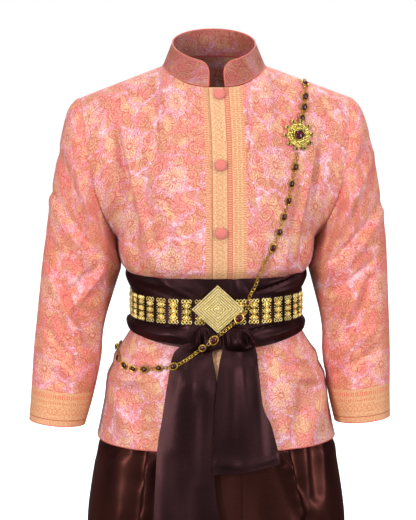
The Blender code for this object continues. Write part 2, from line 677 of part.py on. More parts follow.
def collar(brocade, group):
    columns = 2 * (2 * NECK_COLUMNS - 1)

    def place(u, v):
        angle = collar_angle(round(u * columns))
        facing = "front" if math.cos(angle) > 1e-6 else "back"
        foot = neckline(angle if facing == "front" else math.pi - angle, facing)
        foot.z += COLLAR_LIFT
        depth = -COLLAR_TOP_FRONT if facing == "front" else COLLAR_TOP_BACK
        height = mix(COLLAR_TOP_FRONT_HEIGHT, COLLAR_TOP_BACK_HEIGHT, 0.5 - 0.5 * math.cos(angle))
        top = Vector((
            COLLAR_TOP_HALF_WIDTH * math.sin(angle),
            depth * abs(math.cos(angle)),
            height,
        ))
        from_end = (min(angle, 2 * math.pi - angle) - COLLAR_HALF_GAP) * COLLAR_TOP_HALF_WIDTH
        if from_end < COLLAR_CORNER:
            drop = COLLAR_CORNER - math.sqrt(COLLAR_CORNER ** 2 - (COLLAR_CORNER - from_end) ** 2)
            top = top.lerp(foot, drop / (height - foot.z))
        return leaned(foot.lerp(top, v))

    cloth = sheet(columns, 3, place)
    turn_outward(cloth, axis_point)
    add_object("collar", walled(cloth, WALL), brocade, group)


def skin_of(names):
    """The outer surfaces of some finished objects, to lay other pieces on."""
    bpy.context.view_layer.update()
    graph = bpy.context.evaluated_depsgraph_get()
    joined = bmesh.new()
    for name in names:
        joined.from_mesh(bpy.data.objects[name].evaluated_get(graph).to_mesh())
    bmesh.ops.triangulate(joined, faces=joined.faces)
    tree = BVHTree.FromBMesh(joined)
    joined.free()
    return tree


def touch(skin, side, x, y, z):
    """Where a piece that is laid on from one side meets the skin, and the skin's slope there."""
    start, direction = {
        "front": (Vector((x, -0.6, z)), Vector((0, 1, 0))),
        "back": (Vector((x, 0.6, z)), Vector((0, -1, 0))),
        "right": (Vector((-0.215, y, z)), Vector((1, 0, 0))),
        "top": (Vector((x, y, 0.3)), Vector((0, 0, -1))),
    }[side]
    place, normal, _, _ = skin.ray_cast(start, direction)
    return place, normal


def buttons(finish, group):
    skin = skin_of(["jacket_front_left"])
    for number, height in enumerate(BUTTON_HEIGHTS, 1):
        place, normal = touch(skin, "front", 0.0, 0.0, height)
        dome = bmesh.new()
        bmesh.ops.create_uvsphere(dome, u_segments=12, v_segments=6, radius=BUTTON_RADIUS)
        bmesh.ops.scale(dome, verts=dome.verts, vec=(1, 1, BUTTON_THICKNESS / 2 / BUTTON_RADIUS))
        made = add_object(f"button_{number}", dome, finish, group)
        made.location = place + normal * (BUTTON_THICKNESS / 2 + CLEAR)
        made.rotation_euler = normal.to_track_quat("Z", "Y").to_euler()


def sash_band(satin, group):
    def place(u, v):
        height, half_width, front, back = along(SASH, v * (len(SASH) - 1))
        angle = 2 * math.pi * u
        x, y = section(half_width, front, back, angle)
        aside = math.sin(angle) ** 2 if math.cos(angle) > 0 else 1.0
        height += SASH_SIDE_RISE * aside * ease((SASH[4][0] - height) / (SASH[4][0] - SASH[0][0]))
        rise = fold_height(SASH_FOLDS, x, height)
        outward = Vector((x, y, 0.0)).normalized()
        return Vector((x, y, height)) + outward * rise

    cloth = sheet(36, len(SASH) - 1, place, closed=True)
    turn_outward(cloth, axis_point)
    add_object("sash_band", walled(cloth, SASH_WALL), satin, group)


def knot_top(x):
    """The knot's upper edge: just under the belt, and clear of the buckle's lower point."""
    share = 1 - abs(x - BUCKLE_CENTRE[0]) / BUCKLE_HALF_WIDTH
    return min(KNOT_TOP, BUCKLE_CENTRE[1] - BUCKLE_HALF_HEIGHT * share - KNOT_FROM_BUCKLE)


def sash_knot(satin, group):
    """A heap with a flat back: each skin is a grid whose columns follow the knot's table."""
    def place(u, v, front):
        top_x, bottom_x, bottom, swell = along(KNOT, u * (len(KNOT) - 1))
        x = mix(bottom_x, top_x, v)
        crown = math.sin(math.pi * (0.02 + 0.96 * (1 - v))) ** 0.8
        rise = KNOT_PLIES * 0.4 + (KNOT_PLIES * 0.6 + swell) * crown if front else 0.0
        y = mix(KNOT_BACK_LOW, KNOT_BACK_TOP, v) - rise
        return Vector((x, y, mix(bottom, knot_top(x), v)))

    heap = sheet(KNOT_COLUMNS, KNOT_ROWS, lambda u, v: Vector((u, v, 0.0)))
    front = bmesh.ops.extrude_face_region(heap, geom=heap.faces[:], use_keep_orig=True)["geom"]
    for corner in [item for item in front if isinstance(item, bmesh.types.BMVert)]:
        corner.co.z = 1.0
    for corner in heap.verts:
        corner.co = place(corner.co.x, corner.co.y, corner.co.z > 0.5)
    bmesh.ops.recalc_face_normals(heap, faces=heap.faces)
    add_object("sash_knot", heap, satin, group)


def sash_tail(name, edges, slant, lift, rows, satin, group):
    def place(u, v):
        height, right_x, left_x = along(edges, v * (len(edges) - 1))
        x = mix(right_x, left_x, u)
        height += slant * u * ease(1.0 - 3.0 * v)
        half_width, front = at_height(DRAPE, height)
        y = -front * (1 - (abs(x) / half_width) ** (2 / ROUNDNESS)) ** (ROUNDNESS / 2)
        return Vector((x, y - lift - fold_height(TAIL_FOLDS, x, height), height))

    cloth = sheet(8, rows, place)
    turn_outward(cloth, axis_point)
    add_object(name, walled(cloth, -SATIN_WALL), satin, group)


def rod(sections):
    """A closed body through a row of closed sections with the same number of points."""
    rows, sides = len(sections), len(sections[0])
    body = bmesh.new()
    bmesh.ops.create_grid(body, x_segments=sides, y_segments=rows - 1, size=1.0)
    for corner in body.verts:
        column = round((corner.co.x + 1) / 2 * sides) % sides
        row = round((corner.co.y + 1) / 2 * (rows - 1))
        corner.co = sections[row][column]
    bmesh.ops.remove_doubles(body, verts=body.verts, dist=1e-7)
    bmesh.ops.holes_fill(body, edges=[edge for edge in body.edges if edge.is_boundary], sides=0)
    bmesh.ops.recalc_face_normals(body, faces=body.faces)
    return body


def belt_half(name, side, gold, group):
    """A row of hinged panels: each is tall and thick, with a lower, thinner hinge between."""
    sections = []
    gap = 0.0015
    steps = ((0.00, 0), (0.10, 1), (0.90, 1))
    stations = [(panel + share, tall) for panel in range(PANELS_PER_HALF) for share, tall in steps]
    stations.append((PANELS_PER_HALF, 0))
    for place, tall in stations:
        share = place / PANELS_PER_HALF
        angle = side * mix(gap / BELT_FRONT, math.pi - gap / BELT_BACK, share)
        half_height = PANEL_HALF_HEIGHT if tall else HINGE_HALF_HEIGHT
        thickness = BELT_THICKNESS if tall else BELT_THICKNESS * 0.6
        x, y = section(BELT_HALF_WIDTH, BELT_FRONT, BELT_BACK, angle)
        outward = Vector((x / BELT_HALF_WIDTH ** 2, y / BELT_FRONT ** 2, 0.0)).normalized()
        inner = Vector((x, y, BELT_HEIGHT))
        up = Vector((0, 0, half_height))
        sections.append([
            inner - up,
            inner - up + outward * thickness * 0.7,
            inner + outward * thickness,
            inner + up + outward * thickness * 0.7,
            inner + up,
        ])
    add_object(name, rod(sections), gold, group)


def buckle(gold, group):
    plate = bmesh.new()
    bmesh.ops.create_cone(
        plate, cap_ends=True, segments=4, radius1=1.0, radius2=1.0, depth=BUCKLE_THICKNESS)
    bmesh.ops.scale(plate, verts=plate.verts, vec=(BUCKLE_HALF_WIDTH, BUCKLE_HALF_HEIGHT, 1.0))
    for inset, rise in BUCKLE_STEPS:
        top = max(plate.faces, key=lambda face: face.calc_center_median().z)
        bmesh.ops.inset_individual(plate, faces=[top], thickness=inset, depth=rise)
    made = add_object("buckle", plate, gold, group)
    made.rotation_euler = (math.pi / 2, 0, 0)
    belt_face = BELT_FRONT + BELT_THICKNESS + CLEAR
    made.location = (BUCKLE_CENTRE[0], -belt_face - BUCKLE_THICKNESS / 2, BUCKLE_CENTRE[1])


def lift_needed(skin, centre, normal, half_across, clearance):
    """How far a strip across the chain has to rise to clear what lies under it."""
    high = 0.02
    falls = []
    for share in (-1.0, -0.5, 0.0, 0.5, 1.0):
        start = centre + half_across * share + normal * high
        falls.append(skin.ray_cast(start, -normal, 2 * high)[3])
    return max((high + clearance - fall for fall in falls if fall is not None), default=0.0)


def chain(name, rests, skin, gold, group):
    """Flat stone settings joined by thin links, resting on what lies under them."""
    table = []
    for side, x, y, z, _ in rests:
        place, normal = touch(skin, side, x, y, z)
        around = Vector((place.x * 0.6, place.y, 0.2 if side == "top" else 0.0)).normalized()
        normal = (normal * 0.4 + around).normalized()
        table.append((*place, *normal))
    stations = []
    for number, rest in enumerate(rests):
        pitch = (Vector(table[number][:3]) - Vector(table[number - 1 if number else 1][:3])).length
        stone = rest[4]
        if stone:
            stations += [
                (number - 1.3 * stone / pitch, 0.0), (number - 0.6 * stone / pitch, stone),
                (number + 0.6 * stone / pitch, stone), (number + 1.3 * stone / pitch, 0.0),
            ]
        else:
            stations.append((float(number), 0.0))
        if number < len(rests) - 1:
            stations.append((number + 0.5, 0.0))
    sections = []
    for place, stone in stations:
        values = along(table, place)
        centre, normal = Vector(values[:3]), Vector(values[3:]).normalized()
        ahead = Vector(along(table, place + 0.05)[:3]) - Vector(along(table, place - 0.05)[:3])
        across = ahead.cross(normal).normalized()
        half = stone or LINK_HALF_WIDTH
        thick = (STONE_THICKNESS if stone else LINK_THICKNESS) / 2
        clearance = thick + (2 * CLEAR if stone else LINK_CLEAR)
        centre += normal * lift_needed(skin, centre, normal, across * half, clearance)
        sections.append([
            centre + across * half * math.cos(2 * math.pi * step / CHAIN_SIDES)
            + normal * thick * math.sin(2 * math.pi * step / CHAIN_SIDES)
            for step in range(CHAIN_SIDES)
        ])
    add_object(name, rod(sections), gold, group)


def brooch(skin, gold, ruby, group):
    place, normal = touch(skin, "front", BROOCH_AT[0], 0.0, BROOCH_AT[1])
    star = bmesh.new()
    bmesh.ops.create_cone(
        star, cap_ends=True, segments=2 * BROOCH_POINTS, radius1=BROOCH_RADIUS,
        radius2=BROOCH_RADIUS, depth=BROOCH_THICKNESS)
    for corner in star.verts:
        turn = round(math.atan2(corner.co.y, corner.co.x) / (math.pi / BROOCH_POINTS))
        if turn % 2:
            corner.co.x *= BROOCH_NOTCH / BROOCH_RADIUS
            corner.co.y *= BROOCH_NOTCH / BROOCH_RADIUS
    height = BROOCH_THICKNESS
    for inset, rise in BROOCH_DOME:
        top = max(star.faces, key=lambda face: face.calc_center_median().z)
        bmesh.ops.inset_individual(star, faces=[top], thickness=inset, depth=rise)
        height += rise
    turn = normal.to_track_quat("Z", "Y").to_euler()
    made = add_object("brooch", star, gold, group)
    made.location = place + normal * (BROOCH_THICKNESS / 2 + BROOCH_LIFT)
    made.rotation_euler = turn
    stone = bmesh.new()
    bmesh.ops.create_uvsphere(stone, u_segments=12, v_segments=6, radius=RUBY_RADIUS)
    bmesh.ops.scale(stone, verts=stone.verts, vec=(1, 1, RUBY_THICKNESS / 2 / RUBY_RADIUS))
    made = add_object("brooch_ruby", stone, ruby, group)
    made.location = place + normal * (BROOCH_LIFT + height + RUBY_THICKNESS / 2 + CLEAR)
    made.rotation_euler = turn


def kraben_fold(x, y, z):
    """Swags that spread from the centre of the waist and deepen downwards, front and back."""
    run = math.hypot(x, z - SWAG_FROM)
    angle = math.degrees(math.atan2(abs(x), SWAG_FROM - z))
    total = sum(
        height * math.exp(-(((angle - middle) / width) ** 2)) for middle, width, height in SWAGS
    )
    deep = ease((run - SWAG_TOP) / (SWAG_FULL - SWAG_TOP)) * ease((z + 1.06) / 0.10)
    if total > 0:
        deep *= ease((HEM - z) / 0.06)
    return total * deep * ease((abs(x) - 0.034) / 0.03)


def kraben_half(name, side, satin, group):
    """One half: open towards the centre above the crotch, a closed tube below it."""
    last = len(KRABEN) - 1

    def outer(u, v):
        height, wide, parting, _, front, back = along(KRABEN, v * last)
        x, y = section(wide - parting, front, back, math.pi * u)
        outward = Vector((x, y, 0.0)).normalized()
        point = Vector((x + parting, y, height))
        point += outward * kraben_fold(point.x, y, height)
        return Vector((side * point.x, point.y, point.z))

    def inner(u, v):
        height, _, parting, near, front, back = along(KRABEN, v * LEG_ROWS)
        x, y = section(parting - near, front, back, math.pi * u)
        outward = Vector((-x, y, 0.0)).normalized()
        point = Vector((parting - x, y, height))
        point += outward * kraben_fold(point.x, y, height)
        arch = CROTCH_ARCH * math.sin(math.pi * u) ** 2 * v ** 3
        return Vector((side * point.x, point.y, height + arch))

    cloth = sheet(24, last, outer)
    lining = sheet(10, LEG_ROWS, inner)
    inside = bpy.data.meshes.new("inner_leg")
    lining.to_mesh(inside)
    lining.free()
    cloth.from_mesh(inside)
    bpy.data.meshes.remove(inside)
    bmesh.ops.remove_doubles(cloth, verts=cloth.verts, dist=1e-5)
    bmesh.ops.recalc_face_normals(cloth, faces=cloth.faces)
    turn_outward(cloth, lambda point: Vector((side * 0.11, 0.0, point.z)))
    add_object(name, walled(cloth, KRABEN_WALL), satin, group)


def kraben_pleat(satin, group):
    last = len(PLEAT) - 1

    def place(u, v):
        share, height, half_width = along(PLEAT, v * last)
        front, back = at_height(KRABEN, height)[3:]
        depth = (front if share < 0 else back) + PLEAT_LIFT
        return Vector((half_width * (2.0 * u - 1.0), share * depth, height))

    cloth = sheet(4, last, place)
    turn_outward(cloth, lambda point: Vector((0.0, 0.0, -0.70)))
    add_object("kraben_centre_pleat", walled(cloth, -PLEAT_WALL), satin, group)


def build():
    clear_scene()
    group = bpy.data.collections.new(COLLECTION)
    bpy.context.scene.collection.children.link(group)
    brocade = material("brocade", (0.80, 0.31, 0.21), 0.45, 0.15)
    collar_brocade = material("collar_brocade", (0.60, 0.21, 0.14), 0.50, 0.10)
    button_cloth = material("button_cloth", (0.75, 0.22, 0.16), 0.55)
    sash_satin = material("sash_satin", (0.045, 0.016, 0.018), 0.35)
    kraben_satin = material("kraben_satin", (0.085, 0.025, 0.016), 0.38)
    gold = material("gold", (0.80, 0.55, 0.12), 0.30, 1.0)
    ruby = material("ruby", (0.16, 0.003, 0.008), 0.08)

    jacket_panels(brocade, group)
    sleeve("sleeve_right", -1, SLEEVE_FOLDS_RIGHT, brocade, group)
    sleeve("sleeve_left", 1, SLEEVE_FOLDS_LEFT, brocade, group)
    collar(collar_brocade, group)
    buttons(button_cloth, group)
    sash_band(sash_satin, group)
    sash_knot(sash_satin, group)
    sash_tail("sash_tail_right", TAIL_RIGHT_EDGES, 0.0, 0.0, 16, sash_satin, group)
    sash_tail("sash_tail_left", TAIL_LEFT_EDGES, TAIL_LEFT_SLANT, SATIN_WALL + CLEAR, 10, sash_satin, group)
    belt_half("belt_right", -1, gold, group)
    belt_half("belt_left", 1, gold, group)
    buckle(gold, group)
    kraben_half("kraben_right", -1, kraben_satin, group)
    kraben_half("kraben_left", 1, kraben_satin, group)
    kraben_pleat(kraben_satin, group)
    under_chain = skin_of([
        "jacket_front_right", "jacket_front_left", "jacket_back", "collar", "sash_band", "sash_knot",
        "sash_tail_right", "sash_tail_left", "belt_right", "belt_left", "buckle",
    ])
    chain("chain_shoulder", CHAIN_SHOULDER, under_chain, gold, group)
    chain("chain_chest", CHAIN_CHEST, under_chain, gold, group)
    chain("chain_waist", CHAIN_WAIST, under_chain, gold, group)
    chain("chain_back", CHAIN_BACK, under_chain, gold, group)
    brooch(under_chain, gold, ruby, group)


build()
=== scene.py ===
import math

import bmesh
import bpy
from mathutils import Matrix, Vector
from mathutils.bvhtree import BVHTree


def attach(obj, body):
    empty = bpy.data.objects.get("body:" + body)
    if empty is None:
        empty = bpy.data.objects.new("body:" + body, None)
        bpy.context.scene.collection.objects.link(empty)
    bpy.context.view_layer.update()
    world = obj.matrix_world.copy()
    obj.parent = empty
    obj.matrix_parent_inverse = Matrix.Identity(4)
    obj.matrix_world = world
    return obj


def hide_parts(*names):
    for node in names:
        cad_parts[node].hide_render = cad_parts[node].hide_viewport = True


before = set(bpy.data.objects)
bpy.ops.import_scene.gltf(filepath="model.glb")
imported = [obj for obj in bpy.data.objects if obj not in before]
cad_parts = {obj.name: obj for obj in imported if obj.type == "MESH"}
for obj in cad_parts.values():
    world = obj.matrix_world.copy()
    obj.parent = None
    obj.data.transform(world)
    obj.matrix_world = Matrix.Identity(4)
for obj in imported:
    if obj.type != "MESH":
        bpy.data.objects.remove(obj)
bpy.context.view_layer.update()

# Studio: a pale floor, a pale room and four soft lights, two of them tall, with the camera a little
# above the chest and a little to the wearer's right.
CAMERA_TURN, CAMERA_RISE, CAMERA_DISTANCE = math.radians(3.5), math.radians(8.5), 4.2
LOOKS_AT = Vector((0.0, 0.0, -0.345))
FRAME_WIDTH, FRAME_SHIFT = 416, -8.0
METRES_PER_PIXEL = 0.00175
SENSOR_WIDTH = 36.0
LIGHTS = (  # name, place, wide, tall, power
    ("light_front_left", (-2.1, -2.3, 0.15), 0.6, 2.4, 88.0),
    ("light_front_right", (2.4, -1.9, 0.15), 0.5, 2.2, 67.0),
    ("light_above", (0.0, -1.4, 2.4), 0.9, 0.9, 22.0),
    ("light_behind", (0.6, 1.8, 2.6), 1.8, 1.8, 76.0),
)
LIGHTS_AIM_AT = Vector((0.0, 0.0, -0.40))
ROOM_BRIGHT_FROM = (-0.30, -0.50, 0.81)
ROOM_DIM, ROOM_BRIGHT = 0.08, 0.68
FLOOR_HEIGHT, FLOOR_RADIUS, FLOOR_GLOW = -1.0515, 9.0, 0.56
WHITE = (1.0, 1.0, 1.0, 1.0)

away = Vector((
    -math.sin(CAMERA_TURN) * math.cos(CAMERA_RISE),
    -math.cos(CAMERA_TURN) * math.cos(CAMERA_RISE),
    math.sin(CAMERA_RISE),
))
camera_data = bpy.data.cameras.new("camera")
camera_data.sensor_fit = "HORIZONTAL"
camera_data.sensor_width = SENSOR_WIDTH
camera_data.lens = CAMERA_DISTANCE / METRES_PER_PIXEL * SENSOR_WIDTH / FRAME_WIDTH
camera_data.shift_x = FRAME_SHIFT / FRAME_WIDTH
camera = bpy.data.objects.new("camera", camera_data)
camera.location = LOOKS_AT + away * CAMERA_DISTANCE
camera.rotation_euler = (-away).to_track_quat("-Z", "Y").to_euler()
bpy.context.scene.collection.objects.link(camera)
bpy.context.scene.camera = camera

for name, place, wide, tall, power in LIGHTS:
    lamp = bpy.data.lights.new(name, "AREA")
    lamp.shape = "ELLIPSE"
    lamp.size, lamp.size_y = wide, tall
    lamp.energy = power
    holder = bpy.data.objects.new(name, lamp)
    holder.location = place
    holder.rotation_euler = (LIGHTS_AIM_AT - Vector(place)).to_track_quat("-Z", "Y").to_euler()
    bpy.context.scene.collection.objects.link(holder)

room = bpy.data.worlds.new("room")
room.use_nodes = True
room_nodes = room.node_tree.nodes
shown_air = room_nodes["Background"]
shown_air.inputs["Color"].default_value = WHITE
shown_air.inputs["Strength"].default_value = 1.0
lighting_air = room_nodes.new("ShaderNodeBackground")
lighting_air.inputs["Color"].default_value = WHITE
way = room_nodes.new("ShaderNodeTexCoord")
towards_light = room_nodes.new("ShaderNodeVectorMath")
towards_light.operation = "DOT_PRODUCT"
towards_light.inputs[1].default_value = ROOM_BRIGHT_FROM
brightness = room_nodes.new("ShaderNodeMapRange")
for socket, value in zip(brightness.inputs[1:5], (-1.0, 1.0, ROOM_DIM, ROOM_BRIGHT)):
    socket.default_value = value
either = room_nodes.new("ShaderNodeMixShader")
ray_kind = room_nodes.new("ShaderNodeLightPath")
for giver, taker in (
        (way.outputs["Generated"], towards_light.inputs[0]),
        (towards_light.outputs["Value"], brightness.inputs[0]),
        (brightness.outputs[0], lighting_air.inputs["Strength"]),
        (ray_kind.outputs["Is Camera Ray"], either.inputs[0]),
        (lighting_air.outputs[0], either.inputs[1]),
        (shown_air.outputs[0], either.inputs[2]),
        (either.outputs[0], room_nodes["World Output"].inputs["Surface"])):
    room.node_tree.links.new(giver, taker)
bpy.context.scene.world = room
bpy.context.scene.view_settings.view_transform = "Standard"

floor_mesh = bpy.data.meshes.new("floor")
floor_shape = bmesh.new()
bmesh.ops.create_circle(floor_shape, cap_ends=True, segments=96, radius=FLOOR_RADIUS)
bmesh.ops.translate(floor_shape, verts=floor_shape.verts, vec=(0.0, 0.0, FLOOR_HEIGHT))
floor_shape.to_mesh(floor_mesh)
floor_shape.free()
floor = bpy.data.objects.new("floor", floor_mesh)
floor.visible_diffuse = floor.visible_glossy = False
bpy.context.scene.collection.objects.link(floor)
floor_paint = bpy.data.materials.new("floor_paint")
floor_paint.use_nodes = True
floor_shader = floor_paint.node_tree.nodes["Principled BSDF"]
floor_shader.inputs["Base Color"].default_value = (0.90, 0.90, 0.90, 1.0)
floor_shader.inputs["Roughness"].default_value = 0.9
floor_shader.inputs["Emission Color"].default_value = WHITE
floor_shader.inputs["Emission Strength"].default_value = FLOOR_GLOW
floor_mesh.materials.append(floor_paint)

# Jacket fronts and back: three panels of coral brocade, joined at the side and shoulder seams. The
# left front laps over the right and carries the woven border; both hems are turned up and sewn.
WALL = 0.0020
SATIN_WALL = 0.0016
SEAM = 0.0004
CLEAR = 0.0004
LAP = 0.0029
LAP_FULL, LAP_GONE = 0.034, 0.062
ROUNDNESS = 0.84
TRUNK = (  # height, half_width, front, back
    (-0.652, 0.2095, 0.1665, 0.1560),
    (-0.630, 0.2045, 0.1635, 0.1530),
    (-0.600, 0.1985, 0.1600, 0.1490),
    (-0.567, 0.1920, 0.1560, 0.1450),
    (-0.532, 0.1855, 0.1500, 0.1390),
    (-0.505, 0.1730, 0.1380, 0.1310),
    (-0.482, 0.1590, 0.1228, 0.1220),
    (-0.462, 0.1475, 0.1195, 0.1140),
    (-0.440, 0.1425, 0.1183, 0.1100),
    (-0.416, 0.1410, 0.1175, 0.1090),
    (-0.385, 0.1440, 0.1175, 0.1110),
    (-0.362, 0.1545, 0.1210, 0.1160),
    (-0.346, 0.1650, 0.1305, 0.1210),
    (-0.326, 0.1698, 0.1345, 0.1230),
    (-0.305, 0.1720, 0.1350, 0.1230),
)
HEM = TRUNK[0][0]
ARMPIT = TRUNK[-1][0]
NECK_HALF_WIDTH = 0.0885
NECK_FRONT = 0.0760
NECK_BACK = 0.0620
NECK_FRONT_HEIGHT = -0.0365
NECK_SIDE_HEIGHT = -0.0055
NECK_BACK_HEIGHT = 0.0080
NECK_SHARE = 0.42
NECK_LEAN = -0.0035
LEAN_BELOW = 0.150
LEFT_FRONT_EDGE = -0.0145
RIGHT_FRONT_EDGE = -0.010
CENTRE_RISE = math.radians(58)
SLEEVE = (  # outer_x, outer_z, inner_x, inner_z, half_depth, centre_y, bow
    (0.2325, -0.0600, 0.1720, -0.3050, 0.0760, 0.004, 0.016),
    (0.2400, -0.0635, 0.1722, -0.3120, 0.0765, 0.004, 0.015),
    (0.2545, -0.0810, 0.1716, -0.3220, 0.0765, 0.003, 0.013),
    (0.2655, -0.1150, 0.1692, -0.3330, 0.0760, 0.002, 0.010),
    (0.2740, -0.1550, 0.1664, -0.3440, 0.0740, 0.001, 0.006),
    (0.2825, -0.2000, 0.1660, -0.3550, 0.0720, 0.000, 0.003),
    (0.2895, -0.2450, 0.1695, -0.3670, 0.0700, -0.001, 0.000),
    (0.2965, -0.2950, 0.1765, -0.3880, 0.0670, -0.004, 0.000),
    (0.3030, -0.3450, 0.1840, -0.4110, 0.0650, -0.008, 0.000),
    (0.3085, -0.3950, 0.1930, -0.4400, 0.0630, -0.013, 0.000),
    (0.3135, -0.4400, 0.1990, -0.4700, 0.0610, -0.018, 0.000),
    (0.3185, -0.4850, 0.2010, -0.5020, 0.0590, -0.023, 0.000),
    (0.3220, -0.5300, 0.2080, -0.5400, 0.0560, -0.029, 0.000),
    (0.3250, -0.5750, 0.2190, -0.5850, 0.0530, -0.035, 0.000),
    (0.3285, -0.6150, 0.2310, -0.6240, 0.0500, -0.041, 0.000),
)
BACK_ARMHOLE_EXTRA, EXTRA_ROWS = 0.004, 4.0
SEAM_PINCH, PINCH_REACH = 0.0085, 1.4
SHOULDER_FIT = 2.6
ARMHOLE_FROM_X = 0.165
ROWS_ABOVE_ARMPIT = 10
COLUMN_CROWDING = 0.35
TRUNK_FOLDS = (  # x_start, z_start, x_end, z_end, width, height
    (-0.176, -0.512, -0.095, -0.500, 0.0060, 0.0045),
    (-0.182, -0.528, -0.105, -0.512, 0.0050, -0.0042),
    (-0.186, -0.546, -0.130, -0.530, 0.0065, 0.0040),
    (-0.178, -0.560, -0.140, -0.548, 0.0050, -0.0030),
    (0.176, -0.507, 0.098, -0.497, 0.0060, 0.0045),
    (0.182, -0.525, 0.105, -0.511, 0.0050, -0.0045),
    (0.186, -0.543, 0.125, -0.529, 0.0065, 0.0042),
    (0.178, -0.558, 0.138, -0.546, 0.0050, -0.0030),
    (-0.185, -0.560, -0.150, -0.640, 0.013, 0.0060),
    (-0.150, -0.550, -0.118, -0.640, 0.012, -0.0045),
    (0.186, -0.560, 0.156, -0.640, 0.013, 0.0060),
    (0.150, -0.550, 0.124, -0.640, 0.012, -0.0045),
    (-0.171, -0.300, -0.165, -0.350, 0.0120, 0.0024),
    (-0.178, -0.105, -0.148, -0.262, 0.0085, -0.0110),
    (-0.148, -0.262, -0.140, -0.345, 0.0085, -0.0090),
    (-0.162, -0.110, -0.128, -0.270, 0.0090, 0.0065),
    (-0.136, -0.150, -0.112, -0.300, 0.0100, -0.0060),
    (0.182, -0.115, 0.152, -0.265, 0.0080, -0.0090),
    (0.152, -0.265, 0.142, -0.345, 0.0080, -0.0080),
    (0.166, -0.140, 0.134, -0.290, 0.0090, 0.0060),
    (0.146, -0.190, 0.118, -0.320, 0.0090, -0.0050),
    (-0.122, -0.285, -0.112, -0.348, 0.0070, 0.0040),
    (0.122, -0.285, 0.110, -0.348, 0.0070, 0.0040),
    (-0.086, -0.270, -0.088, -0.348, 0.0070, -0.0040),
    (-0.062, -0.290, -0.060, -0.348, 0.0080, 0.0030),
    (0.092, -0.280, 0.086, -0.348, 0.0070, -0.0040),
    (0.066, -0.290, 0.062, -0.348, 0.0080, 0.0030),
)
PANEL_COLUMNS, PANEL_ROWS = 72, 150


def mix(first, second, share):
    return first + (second - first) * share


def ease(share):
    share = min(max(share, 0.0), 1.0)
    return share * share * (3.0 - 2.0 * share)


def along(table, place):
    """Every column of a table at a place counted in rows, on a smooth curve through the rows."""
    place = min(max(place, 0.0), len(table) - 1.0)
    first = min(int(place), len(table) - 2)
    share = place - first
    rows = [table[min(max(first + step, 0), len(table) - 1)] for step in (-1, 0, 1, 2)]
    values = []
    for before, start, end, after in zip(*rows):
        slope_in = (end - before) / 2.0
        slope_out = (after - start) / 2.0
        square, cube = share ** 2, share ** 3
        values.append(
            start * (2 * cube - 3 * square + 1) + slope_in * (cube - 2 * square + share)
            + end * (3 * square - 2 * cube) + slope_out * (cube - square)
        )
    return values


def at_height(table, height):
    """The other columns of a table whose first column is a height, at that height."""
    last = len(table) - 2
    first = 0
    while first < last and (height - table[first + 1][0]) * (table[1][0] - table[0][0]) > 0:
        first += 1
    share = (height - table[first][0]) / (table[first + 1][0] - table[first][0])
    return along(table, first + min(max(share, 0.0), 1.0))[1:]


def fold_height(folds, x, z):
    """Sum of soft ridges and troughs, each along a straight stretch that fades at its ends."""
    total = 0.0
    for x_start, z_start, x_end, z_end, width, height in folds:
        run_x, run_z = x_end - x_start, z_end - z_start
        length = run_x ** 2 + run_z ** 2
        share = ((x - x_start) * run_x + (z - z_start) * run_z) / length
        nearest = min(max(share, 0.0), 1.0)
        off = math.hypot(x - x_start - nearest * run_x, z - z_start - nearest * run_z)
        if off < 3 * width:
            total += height * math.exp(-((off / width) ** 2)) * (
                0.55 + 0.45 * math.sin(math.pi * nearest))
    return total


def section(half_width, front, back, angle):
    """A point of a rounded section: angle 0 is the front, a quarter turn is the side."""
    sine, cosine = math.sin(angle), math.cos(angle)
    depth = -front if cosine > 0 else back
    return (
        math.copysign(half_width * abs(sine) ** ROUNDNESS, sine),
        depth * abs(cosine) ** ROUNDNESS,
    )


def angle_at(half_width, x):
    return math.copysign(math.asin(min(abs(x) / half_width, 1.0) ** (1.0 / ROUNDNESS)), x)


def leaned(point):
    """The neck and the shoulders lean a little to the wearer's right."""
    share = ease(1.0 + point.z / LEAN_BELOW)
    return Vector((point.x + NECK_LEAN * share, point.y, point.z))


def neckline(angle, facing):
    depth = -NECK_FRONT if facing == "front" else NECK_BACK
    centre = NECK_FRONT_HEIGHT if facing == "front" else NECK_BACK_HEIGHT
    rise = mix(centre, NECK_SIDE_HEIGHT, abs(math.sin(angle)) ** 3)
    return Vector((NECK_HALF_WIDTH * math.sin(angle), depth * math.cos(angle), rise))


def sleeve_ring(place, angle, extra=0.0):
    """A point of the sleeve: place counts rows of its table, angle 0 is the outer edge."""
    outer_x, outer_z, inner_x, inner_z, depth, centre_y, bow = along(SLEEVE, place)
    sine, cosine = math.sin(angle), math.cos(angle)
    if sine < 0:
        depth += BACK_ARMHOLE_EXTRA * max(0.0, 1.0 - place / EXTRA_ROWS)
    extra -= SEAM_PINCH * math.exp(-((place / PINCH_REACH) ** 2)) * sine ** 2
    return Vector((
        mix(inner_x, outer_x, (1 + cosine) / 2) + bow * sine ** 2 + extra * cosine,
        centre_y - (depth + extra) * sine,
        mix(inner_z, outer_z, (1 + cosine) / 2),
    ))


def trunk_low(share, u, facing, edge):
    """The trunk from the hem to the armpit; u runs from a front's edge or centre back to the side."""
    height, half_width, front, back = along(TRUNK, share * (len(TRUNK) - 1))
    sign, depth = (-1, back) if facing == "back" else (1, front)
    x, y = section(half_width, depth, back, mix(angle_at(half_width, edge), math.pi / 2, u))
    return Vector((x, sign * y, height))


